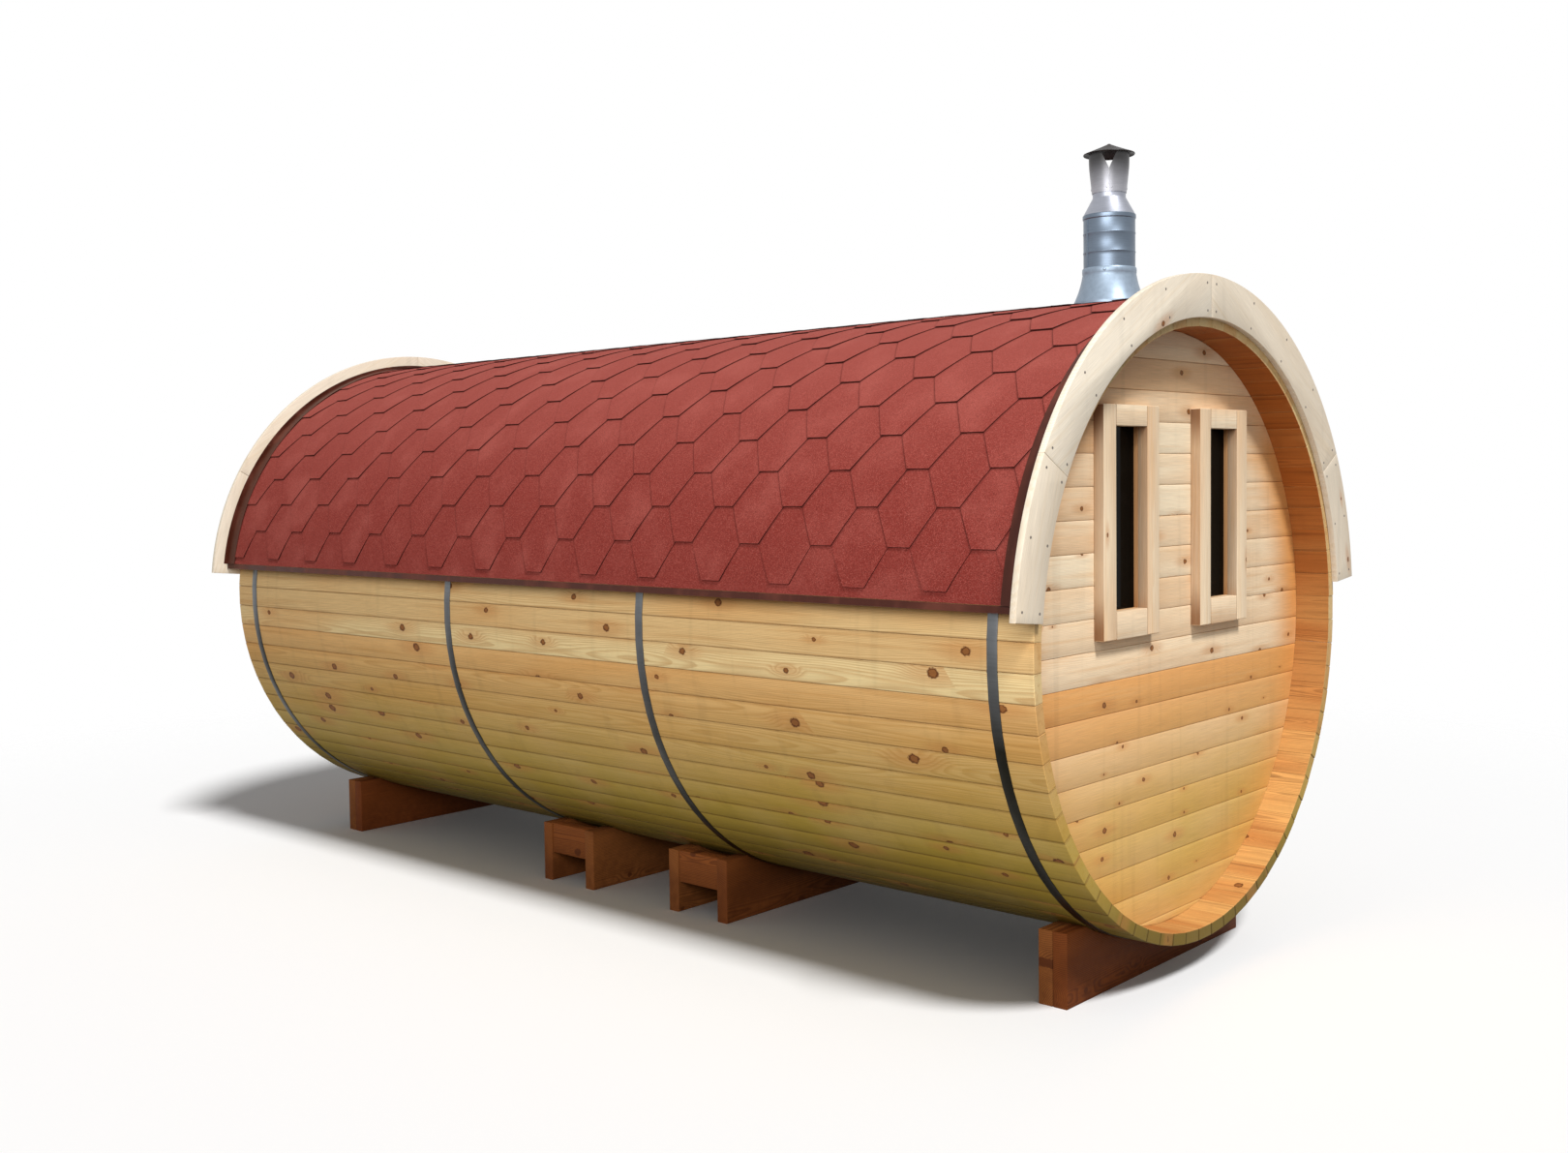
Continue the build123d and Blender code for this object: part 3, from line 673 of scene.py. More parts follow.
def bare_metal(name, colour, lines, metallic=1.0, roughness=0.42, dull=0.35, grime=0.0, unshaded_height=1.5, shaded_height=0.85):
    """Bare sheet steel or zinc with brush lines and scratches, and painted shade from an unshaded to a shaded
    height.
    """
    material, g, shader = new_material(name)
    place = g.place()
    sheet = g.group(brushed_sheet(), {"Place": place, "Lines": g.scaled(place, *lines)})
    air = g.group(weather(), {"Place": place, "Damp Top": unshaded_height, "Damp Foot": shaded_height})
    dark = paint(colour, 0.62)
    body = g.mix(g.times(g.spread(sheet["Brush"], 0.35, 0.7), 0.3), paint(colour), dark)
    body = g.mix(g.times(g.spread(sheet["Patches"], 0.45, 0.7), dull), body, dark)
    body = g.mix(g.times(air["Streaks"], 0.3), body, dark)
    # Painted shade, darker from the unshaded height towards the shaded height.
    if grime:
        body = g.coat(body, "grime", air["Damp"], grime)
    g.feed(shader["Base Color"], body)
    shader["Metallic"].default_value = metallic
    rough = g.scale_add(sheet["Patches"], 0.2, roughness - 0.1)
    g.feed(shader["Roughness"], g.scale_add(sheet["Scratches"], 0.15, rough))
    g.bump(shader, sheet["Brush"], 0.12, 0.0006)
    return material


# How close the brush lines lie along X, Y and Z: round the chimney, along the hoops, or all ways alike
TURNED = (20.0, 20.0, 420.0)
ROLLED = (160.0, 6.0, 160.0)
DIPPED = (60.0, 60.0, 60.0)
STAMPED = (300.0, 300.0, 300.0)


@named("materials")
def hoop_zinc(name):
    # Painted shade on the hoops, darker below 1.5 m above the ground.
    return bare_metal(name, "hoop_zinc", ROLLED, 1.0, 0.36, 0.5, grime=0.96)


@named("materials")
def chimney_steel(name):
    return bare_metal(name, "chimney_steel", TURNED)


@named("materials")
def neck_steel(name):
    return bare_metal(name, "neck_steel", TURNED)


@named("materials")
def collar_zinc(name):
    return bare_metal(name, "collar_zinc", DIPPED, 0.6, 0.44, 0.2)


@named("materials")
def screw_steel(name):
    return bare_metal(name, "screw_steel", STAMPED, 0.9, 0.4)


@named("materials")
def sleeve_steel(name):
    low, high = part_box("rain_cap")
    # Painted shadow of the cap on the sleeve, darker towards its top.
    cap_shadow_height = low.z + 0.7 * (high.z - low.z)
    return bare_metal(name, "sleeve_steel", TURNED, 0.9, grime=0.95, unshaded_height=low.z, shaded_height=cap_shadow_height)


@named("materials")
def dark_pane_glass(name):
    """Toughened glass with a thin film of dust, drawn near black: partly painted shade of the unlit room
    behind it.
    """
    material, g, shader = new_material(name)
    dust = g.noise(g.place(), 22.0, 4.0)
    film = g.times(g.spread(dust, 0.5, 0.8), 0.5)
    # Near black: partly painted shade of the unlit room behind the glass.
    g.feed(shader["Base Color"], g.mix(film, paint("pane"), paint("pane", 1.9)))
    g.feed(shader["Roughness"], g.spread(dust, 0.4, 0.8, 0.04, 0.16))
    shader["Transmission Weight"].default_value = 0.1
    shader["Specular IOR Level"].default_value = 0.1
    shader["IOR"].default_value = 1.2
    return material


# Meshes


class Shape:
    """Points and faces of one piece, with a grain frame, a board number and a tint at each point."""

    def __init__(self, seed):
        self.draw = random.Random(seed)
        self.points = []
        self.grain = []
        self.board = []
        self.tint = []
        self.faces = []
        self.end_grain = []
        self.finish = []

    def add(self, points, faces, grain=None, board=None, tint=0.0, finish=0, ends=(), finishes=None):
        """Adds a closed form. A form without a board number draws one."""
        start = len(self.points)
        number = self.draw.random() if board is None else board
        shift = Vector((number * GRAIN_SHIFT, 0, 0))
        self.points.extend(points)
        self.grain.extend(Vector(place) + shift for place in (grain or points))
        self.board.extend([number] * len(points))
        self.tint.extend([tint] * len(points))
        for index, face in enumerate(faces):
            self.faces.append([start + corner for corner in face])
            self.end_grain.append(1.0 if index in ends else 0.0)
            self.finish.append((finishes or {}).get(index, finish))

    def make(self, name, materials, nodes=(), smooth=32.0):
        """Makes the piece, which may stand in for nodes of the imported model."""
        mesh = bpy.data.meshes.new(name)
        mesh.from_pydata(self.points, [], self.faces)
        grain = mesh.attributes.new("grain", "FLOAT_VECTOR", "POINT")
        grain.data.foreach_set("vector", [number for place in self.grain for number in place])
        for title, numbers in (("board", self.board), ("tint", self.tint)):
            mesh.attributes.new(title, "FLOAT", "POINT").data.foreach_set("value", numbers)
        mesh.attributes.new("end_grain", "FLOAT", "FACE").data.foreach_set("value", self.end_grain)
        mesh.polygons.foreach_set("material_index", self.finish)
        work = bmesh.new()
        work.from_mesh(mesh)
        bmesh.ops.recalc_face_normals(work, faces=work.faces)
        work.to_mesh(mesh)
        work.free()
        mesh.polygons.foreach_set("use_smooth", [True] * len(mesh.polygons))
        mesh.set_sharp_from_angle(angle=math.radians(smooth))
        for material in materials:
            mesh.materials.append(material)
        piece = bpy.data.objects.new(name, mesh)
        bpy.context.scene.collection.objects.link(piece)
        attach(piece, "root")
        if nodes:
            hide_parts(*nodes)
        return piece


def placed(origin, along, across, depth=None):
    """Matrix that places a board: its length, its width and its depth directions."""
    third = along.cross(across) if depth is None else depth
    place = Matrix((along, across, third)).transposed().to_4x4()
    place.translation = origin
    return place


def clamped(share):
    """A share kept between none and all."""
    return min(1.0, max(0.0, share))


def spun(turn, radius, y):
    """Point on the barrel's section, at a turn in degrees from +X and a radius from the axis."""
    angle = math.radians(turn)
    return Vector((radius * math.cos(angle), y, AXIS + radius * math.sin(angle)))


def spoke(turn):
    """Level direction away from the chimney's axis, at a turn in radians."""
    return Vector((math.cos(turn), math.sin(turn), 0))


def stood(turn, radius, height):
    """Point round the chimney, at a turn in radians, a radius and a height above the barrel's axis."""
    return Vector((radius * math.cos(turn), CHIMNEY_Y + radius * math.sin(turn), AXIS + height))


def loft_faces(count, size, closed=False):
    """Faces between rings of points. The first and last rings are closed, or joined to each other."""
    faces = []
    for ring in range(count if closed else count - 1):
        here, there = ring * size, (ring + 1) % count * size
        for corner in range(size):
            beyond = (corner + 1) % size
            faces.append((here + corner, here + beyond, there + beyond, there + corner))
    if not closed:
        faces.append(tuple(range(size)))
        faces.append(tuple((count - 1) * size + corner for corner in range(size)))
    return faces


def rounded(width, depth, radius):
    """Outline of a section with its four arrises rounded."""
    steps = 2
    points = []
    for quarter, (side, face) in enumerate(((1, 1), (-1, 1), (-1, -1), (1, -1))):
        for step in range(steps + 1):
            turn = math.radians(90.0 * quarter + 90.0 * step / steps)
            across = side * (width / 2 - radius) + radius * math.cos(turn)
            points.append((across, face * (depth / 2 - radius) + radius * math.sin(turn)))
    return points


def add_board(shape, place, outline, length, ease, tint=0.0, back=None):
    """One sawn board: its section run along its length, with eased ends.

    The section's last side may have a finish of its own, as the inner face of a stave has.
    """
    rings = []
    for along, inset in ((0.0, ease), (ease, 0.0), (length - ease, 0.0), (length, ease)):
        for across, depth in outline:
            narrow = across - math.copysign(min(inset, abs(across)), across)
            thin = depth - math.copysign(min(inset, abs(depth)), depth)
            rings.append(Vector((along, narrow, thin)))
    size = len(outline)
    faces = loft_faces(4, size)
    finishes = {} if back is None else {ring * size + size - 1: back for ring in range(3)}
    ends = (len(faces) - 2, len(faces) - 1)
    shape.add([place @ p for p in rings], faces, rings, tint=tint, ends=ends, finishes=finishes)


def add_box(shape, low, high, along, ease, tint=0.0):
    """A squared board between two corners, its grain along X, Y or Z."""
    low, high = Vector(low), Vector(high)
    order = {"X": (0, 1, 2), "Y": (1, 2, 0), "Z": (2, 0, 1)}[along]
    axes = [(X, Y, Z)[axis] for axis in order]
    length, width, depth = ((high - low)[axis] for axis in order)
    origin = (low + high) / 2
    origin[order[0]] = low[order[0]]
    add_board(shape, placed(origin, *axes), rounded(width, depth, ease), length, ease, tint)


def add_frame(shape, node, casing, liner, depths, ease, tints):
    """A casing of four boards on the wall and a liner of four in the opening. Gives the clear opening."""
    low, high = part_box(node)
    side, top, bottom = casing
    left, right, sill, head = low.x + side, high.x - side, low.z + bottom, high.z - top
    boards = (
        ("Z", low.x, low.z, left, high.z),
        ("Z", right, low.z, high.x, high.z),
        ("X", left + HAIRLINE, head, right - HAIRLINE, high.z),
        ("X", left + HAIRLINE, low.z, right - HAIRLINE, sill),
        ("Z", left - liner, sill - liner, left, head + liner),
        ("Z", right, sill - liner, right + liner, head + liner),
        ("X", left, head, right, head + liner),
        ("X", left, sill - liner, right, sill),
    )
    for index, (along, x_low, z_low, x_high, z_high) in enumerate(boards):
        near, far = depths[index // 4]
        corners = (x_low, near, z_low), (x_high, far, z_high)
        add_box(shape, *corners, along, (ease, FINE_EASE)[index // 4], tints[index])
    return left, right, sill, head


def add_plate(shape, place, levels, grain_turn=0.0, tint=0.0):
    """A shaped board: outlines of equal count at rising depths, its grain turned in its own plane."""
    cosine, sine = math.cos(grain_turn), math.sin(grain_turn)
    points, grain = [], []
    for depth, outline in levels:
        for u, v in outline:
            points.append(place @ Vector((u, v, depth)))
            grain.append((u * cosine + v * sine, v * cosine - u * sine, depth))
    shape.add(points, loft_faces(len(levels), len(levels[0][1])), grain, tint=tint)


def inset_outline(outline, amount):
    """The same outline moved inwards, corner by corner. The outline runs anticlockwise."""
    moved = []
    for index, (u, v) in enumerate(outline):
        before, after = outline[index - 1], outline[(index + 1) % len(outline)]
        first = Vector((u - before[0], v - before[1])).normalized()
        second = Vector((after[0] - u, after[1] - v)).normalized()
        normal = Vector((-first.y - second.y, first.x + second.x))
        share = max(0.35, (1.0 + first.dot(second)) / 2)
        normal = normal.normalized() * amount / math.sqrt(share)
        moved.append((u + normal.x, v + normal.y))
    return moved


def eased_levels(outline, thickness, ease):
    """Levels of a shaped board with both faces eased."""
    small = inset_outline(outline, ease)
    middle = inset_outline(outline, ease * 0.3)
    near = ((0.0, small), (ease * 0.3, middle), (ease, outline))
    far = tuple((thickness - depth, level) for depth, level in reversed(near))
    return near + far


def add_lathe(shape, profile, bright_above=math.inf):
    """A turned form on the chimney's axis, from a closed profile of radius and height.

    What lies above a height may have the second finish. Heights are above the barrel's axis.
    """
    sides = 96
    points, grain = [], []
    for side in range(sides):
        turn = math.tau * side / sides
        for radius, height in profile:
            points.append(stood(turn, radius, height))
            grain.append((turn * radius, height, radius))
    faces = loft_faces(sides, len(profile), closed=True)
    levels = [profile[index % len(profile)][1] for index in range(len(faces))]
    bright = {index: 1 for index, level in enumerate(levels) if level > bright_above}
    shape.add(points, faces, grain, 0.5, finishes=bright)


def add_dome(shape, centre, out, radius, height, finish=0, sink=0.001):
    """A screw or rivet head that stands on a face and reaches a little into it."""
    sides = 12
    out = Vector(out).normalized()
    side = out.orthogonal().normalized()
    other = out.cross(side)
    levels = ((1.0, -sink), (1.0, height * 0.35), (0.72, height * 0.85), (0.3, height))
    points = []
    for share, rise in levels:
        for step in range(sides):
            turn = math.tau * step / sides
            arm = side * math.cos(turn) + other * math.sin(turn)
            points.append(Vector(centre) + arm * radius * share + out * rise)
    shape.add(points, loft_faces(len(levels), sides), None, 0.5, finish=finish)


def add_sheet(shape, outer, inner, grain, board, finish=0, keep=None):
    """A thin sheet between two grids of points, closed along every free edge.

    Its back and edges have the second finish. Cells that aren't kept are left open.
    """
    rows, columns = len(outer), len(outer[0])
    known, points, marks, faces, finishes = {}, [], [], [], {}

    def corner(layer, row, column):
        key = (layer, row, column)
        if key not in known:
            known[key] = len(points)
            points.append((inner, outer)[layer][row][column])
            marks.append(grain[row][column])
        return known[key]

    def kept(row, column):
        inside = 0 <= row < rows - 1 and 0 <= column < columns - 1
        return inside and (keep is None or keep(row, column))

    for row in range(rows - 1):
        for column in range(columns - 1):
            if not kept(row, column):
                continue
            loop = ((row, column), (row, column + 1), (row + 1, column + 1), (row + 1, column))
            faces.append([corner(1, *place) for place in loop])
            finishes[len(faces)] = 1
            faces.append([corner(0, *place) for place in reversed(loop)])
            beside = ((row - 1, column), (row, column + 1), (row + 1, column), (row, column - 1))
            for step, neighbour in enumerate(beside):
                if kept(*neighbour):
                    continue
                first, second = loop[step], loop[(step + 1) % 4]
                finishes[len(faces)] = 1
                faces.append([corner(0, *first), corner(0, *second), corner(1, *second), corner(1, *first)])
    if faces:
        shape.add(points, faces, marks, board, finish=finish, finishes=finishes)


def dress_node(name, material):
    """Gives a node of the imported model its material."""
    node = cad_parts[name]
    if not node.material_slots:
        node.data.materials.append(material)
    for slot in node.material_slots:
        slot.material = material


def bore(piece, radius, low, high):
    """Cuts the flue's hole through a piece, on the chimney's axis."""
    work = bmesh.new()
    place = Matrix.Translation((0, CHIMNEY_Y, (low + high) / 2))
    options = {"segments": 64, "radius1": radius, "radius2": radius, "depth": high - low}
    bmesh.ops.create_cone(work, cap_ends=True, matrix=place, **options)
    mesh = bpy.data.meshes.new("flue bore")
    work.to_mesh(mesh)
    work.free()
    cutter = bpy.data.objects.new("flue bore", mesh)
    bpy.context.scene.collection.objects.link(cutter)
    cut = piece.modifiers.new("flue bore", "BOOLEAN")
    cut.operation = "DIFFERENCE"
    cut.solver = "EXACT"
    cut.object = cutter
    bpy.context.view_layer.update()
    ready = piece.evaluated_get(bpy.context.evaluated_depsgraph_get())
    result = bpy.data.meshes.new_from_object(ready)
    piece.modifiers.clear()
    piece.data = result
    bpy.data.objects.remove(cutter)


# Pieces


class SAUNA_OT_staves(bpy.types.Operator):
    """Builds the 72 staves of the barrel, nine to a side"""

    bl_idname = "sauna.staves"
    bl_label = "Staves"

    def execute(self, context):
        hole_low, hole_high = AXIS + 0.95, AXIS + 1.2
        for place, side in enumerate(STAVE_SIDES):
            shape = Shape(100 + place)
            first = place * SIDE_STAVES - SIDE_STAVES // 2
            for number in range(SIDE_STAVES):
                self.add_stave(shape, context.scene.sauna_sizes, (first + number) * STAVE_TURN)
            finishes = [stave_pine(), inner_pine_painted_shade()]
            piece = shape.make(f"stave_boards_{side}", finishes, [f"staves_{side}"])
            if side == "top":
                bore(piece, FLUE_HOLE, hole_low, hole_high)
        return {"FINISHED"}

    def add_stave(self, shape, sizes, turn):
        """One stave with wedge-shaped edges and rounded outer arrises, warmer in colour below the axis."""
        thickness, arris = sizes.stave_thickness, sizes.stave_arris
        end_ease, uneven = 0.0015, 0.002
        slope = math.tan(math.radians(STAVE_TURN / 2))
        lean = (BARREL - arris) * slope - sizes.joint_gap / 2
        foot = (BARREL - thickness) * slope - sizes.joint_gap / 2
        right = [(foot, -thickness / 2)]
        for step in range(4):
            quarter = math.radians(30.0 * step)
            across = lean - arris * (1.0 - math.cos(quarter))
            right.append((across, thickness / 2 - arris * (1.0 - math.sin(quarter))))
        outline = right + [(-across, depth) for across, depth in reversed(right)]
        angle = math.radians(turn)
        tangent = Vector((-math.sin(angle), 0, math.cos(angle)))
        short = 0.0 if math.sin(angle) > 0.05 else shape.draw.uniform(0.0, uneven)
        origin = spun(turn, BARREL - thickness / 2, short - HALF)
        drop = math.degrees(math.asin(-math.sin(angle)))
        # Staves from just below the axis upwards are paler, as painted light under the eave; lower staves are
        # warmer.
        warm = 0.08 if drop < 7.0 else 0.55 if drop < 32.0 else 0.4
        tint = clamped(warm + shape.draw.uniform(-0.25, 0.3))
        length = 2 * HALF - 2 * short
        add_board(shape, placed(origin, Y, tangent), outline, length, end_ease, tint, back=1)


class SAUNA_OT_hoops(bpy.types.Operator):
    """Bends four flat steel hoops round the staves"""

    bl_idname = "sauna.hoops"
    bl_label = "Hoops"

    def execute(self, context):
        metal, soft = 0.0022, 0.0008
        steps = 2 * STAVES
        for name in HOOPS:
            low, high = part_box(name)
            middle = (low.y + high.y) / 2
            section = rounded(high.y - low.y, metal, soft)
            points, grain = [], []
            for step in range(steps):
                turn = STAVE_TURN / 2 * step
                seat = (BARREL + SEAT) * (CORNER_LIFT if step % 2 else 1.0)
                for across, depth in section:
                    points.append(spun(turn, seat + metal / 2 + depth, middle + across))
                    grain.append((math.radians(turn) * BARREL, across, depth))
            shape = Shape(140)
            shape.add(points, loft_faces(steps, len(section), closed=True), grain, 0.5)
            shape.make(f"{name}_band", [hoop_zinc()], [name])
        return {"FINISHED"}


class SAUNA_OT_walls(bpy.types.Operator):
    """Boards up both ends of the barrel"""

    bl_idname = "sauna.walls"
    bl_label = "End walls"

    def execute(self, context):
        sizes = context.scene.sauna_sizes
        play = 0.0008
        clear = BARREL - sizes.stave_thickness - play

        def left(height):
            return -math.sqrt(max(clear * clear - height * height, 1e-6))

        def right(height):
            return -left(height)

        def straight(at):
            return lambda height: at

        frames = ("left_window_frame", "right_window_frame")
        windows = [self.opening(node, WINDOW_CASING, WINDOW_LINER) for node in frames]
        doorway = [self.opening("door_frame", DOOR_CASING, DOOR_LINER)]
        for name, seed, inward, gaps in (("front", 160, 1, windows), ("rear", 190, -1, doorway)):
            place = placed(Vector((0, inward * WALL_FRONT, AXIS)), X, Z, inward * Y)
            shape = Shape(seed)
            for row in self.rows(gaps[0][2], sizes.board_pitch, clear):
                middle = (row[0] + row[1]) / 2
                edges = [left]
                for low, high, sill, head in gaps:
                    if sill < middle < head:
                        edges += [straight(low - HAIRLINE), straight(high + HAIRLINE)]
                edges.append(right)
                for ends in zip(edges[::2], edges[1::2]):
                    warm = next((warm for above, warm in ROW_WARMTH if middle > above), LOW_WARMTH)
                    tint = clamped(warm + shape.draw.uniform(-0.12, 0.14))
                    self.add_row(shape, sizes, place, row, ends, tint)
            shape.make(f"{name}_wall_boards", [wall_pine()], [f"{name}_wall"])
        return {"FINISHED"}

    def opening(self, node, casing, liner):
        """Left, right, sill and head of the hole in the wall behind a frame, from the barrel's axis."""
        low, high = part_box(node)
        side, top, bottom = (width - liner for width in casing)
        return low.x + side, high.x - side, low.z + bottom - AXIS, high.z - top - AXIS

    def rows(self, sill, pitch, radius):
        """Lower and upper heights of the wall boards, counted from a sill joint."""
        below = math.floor((radius + sill) / pitch)
        above = math.floor((radius - sill) / pitch)
        joints = [sill + row * pitch for row in range(-below, above + 1)]
        return list(zip([-radius] + joints, joints + [radius]))

    def add_row(self, shape, sizes, place, row, ends, tint):
        """One level wall board with bevelled edges, its ends cut to the barrel or straight at an opening."""
        low, high = row
        steps = 7
        groove = sizes.board_groove

        def outline(trim):
            bottom, top = low + sizes.joint_gap / 2 + trim, high - sizes.joint_gap / 2 - trim
            heights = [bottom + (top - bottom) * step / (steps - 1) for step in range(steps)]
            return [(ends[1](h), h) for h in heights] + [(ends[0](h), h) for h in reversed(heights)]

        full = outline(0.0)
        levels = [(0.0, outline(groove)), (groove * 0.3, outline(groove * 0.3)), (groove, full)]
        add_plate(shape, place, levels + [(WALL_BACK - WALL_FRONT, full)], tint=tint)


class SAUNA_OT_windows(bpy.types.Operator):
    """Builds the two window frames with casing and liner, and glazes them"""

    bl_idname = "sauna.windows"
    bl_label = "Windows"

    def execute(self, context):
        ease = context.scene.sauna_sizes.edge_ease
        tints = (0.1, 0.16, 0.06, 0.2, 0.85, 0.95, 0.85, 0.8)
        wall = WALL_FRONT - CASING_SEAT
        for name, seed in (("left_window", 210), ("right_window", 214)):
            low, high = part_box(f"{name}_frame")
            depths = ((low.y, wall), (wall + HAIRLINE, high.y))
            shape = Shape(seed)
            add_frame(shape, f"{name}_frame", WINDOW_CASING, WINDOW_LINER, depths, ease, tints)
            shape.make(f"{name}_casing", [window_pine()], [f"{name}_frame"])
            dress_node(f"{name}_pane", dark_pane_glass())
        return {"FINISHED"}


class SAUNA_OT_door(bpy.types.Operator):
    """Builds the plank door in the rear wall with its frame, ledges, straps and pull"""

    bl_idname = "sauna.door"
    bl_label = "Door"

    def execute(self, context):
        sizes = context.scene.sauna_sizes
        self.frame_boards(sizes.edge_ease)
        self.leaf(sizes)
        self.ledges()
        self.pull()
        return {"FINISHED"}

    def frame_boards(self, ease):
        """Casing and liner of the doorway, with the stops that the leaf shuts against."""
        low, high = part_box("door_frame")
        wall = CASING_SEAT - WALL_FRONT
        depths = ((wall, high.y), (low.y, wall - HAIRLINE))
        tints = (0.3, 0.35, 0.25, 0.4, 0.5, 0.5, 0.5, 0.5)
        shape = Shape(230)
        opening = add_frame(shape, "door_frame", DOOR_CASING, DOOR_LINER, depths, ease, tints)
        left, right, sill, head = opening
        stop, inside = 0.012, low.y + 0.0238
        stops = (
            ("Z", left, sill, left + stop, head),
            ("Z", right - stop, sill, right, head),
            ("X", left + stop, sill, right - stop, sill + stop),
            ("X", left + stop, head - stop, right - stop, head),
        )
        for along, x_low, z_low, x_high, z_high in stops:
            add_box(shape, (x_low, low.y, z_low), (x_high, inside, z_high), along, FINE_EASE, 0.6)
        shape.make("door_frame_boards", [casing_pine()], ["door_frame"])

    def leaf(self, sizes):
        low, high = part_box("door_leaf")
        boards, gap = 6, sizes.joint_gap / 2
        width = (high.x - low.x) / boards
        shape = Shape(231)
        for board in range(boards):
            left, right = low.x + board * width + gap, low.x + (board + 1) * width - gap
            tint = shape.draw.uniform(0.1, 0.7)
            add_box(shape, (left, low.y, low.z), (right, high.y, high.z), "Z", sizes.board_groove, tint)
        shape.make("door_leaf_boards", [wall_pine()], ["door_leaf"])

    def ledges(self):
        low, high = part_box("door_ledges")
        height, ease, overhang = 0.095, 0.004, 0.03
        shape = Shape(233)
        straps = Shape(234)
        for foot in (low.z, high.z - height):
            add_box(shape, (low.x, low.y, foot), (high.x, high.y, foot + height), "X", ease, 0.4)
            self.strap(straps, low.x - overhang, high.y, foot + height / 2)
        shape.make("door_ledge_boards", [casing_pine()], ["door_ledges"])
        straps.make("door_straps", [screw_steel()])

    def strap(self, shape, start, face, height):
        """A flat steel strap along a ledge, pointed at its free end, with bolts."""
        half, tip, length, taper = 0.019, 0.006, 0.36, 0.03
        metal, ease = 0.004, 0.0008
        bolt, bolt_rise = 0.008, 0.004
        lower = [(0.0, -half), (length - taper, -half), (length, -tip)]
        outline = lower + [(along, -across) for along, across in reversed(lower)]
        place = placed(Vector((start, face + SEAT, height)), X, Z, Y)
        add_plate(shape, place, eased_levels(outline, metal, ease))
        for along in (0.06, 0.17, 0.29):
            add_dome(shape, (start + along, face + SEAT + metal, height), Y, bolt, bolt_rise)

    def pull(self):
        """An upright grip on two feet."""
        low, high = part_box("door_handle")
        height, inset = 0.045, 0.002
        grip_ease, foot_ease, tint = 0.007, 0.004, 0.5
        back = high.y - (high.x - low.x)
        shape = Shape(236)
        add_box(shape, (low.x, back, low.z), high, "Z", grip_ease, tint)
        for foot, top in ((low.z, low.z + height), (high.z - height, high.z)):
            corners = (low.x + inset, low.y, foot), (high.x - inset, back, top)
            add_box(shape, *corners, "Y", foot_ease, tint)
        shape.make("door_pull", [casing_pine()], ["door_handle"])


class SAUNA_OT_roof_boards(bpy.types.Operator):
    """Finishes the roof's ribs, boards and drip edges"""

    bl_idname = "sauna.roof_boards"
    bl_label = "Roof boards"

    def execute(self, context):
        for name in ("roof_ribs", "left_roof_deck", "right_roof_deck"):
            dress_node(name, roof_board_pine())
        for name in ("left_drip_edge", "right_drip_edge"):
            dress_node(name, flashing_paint())
        return {"FINISHED"}


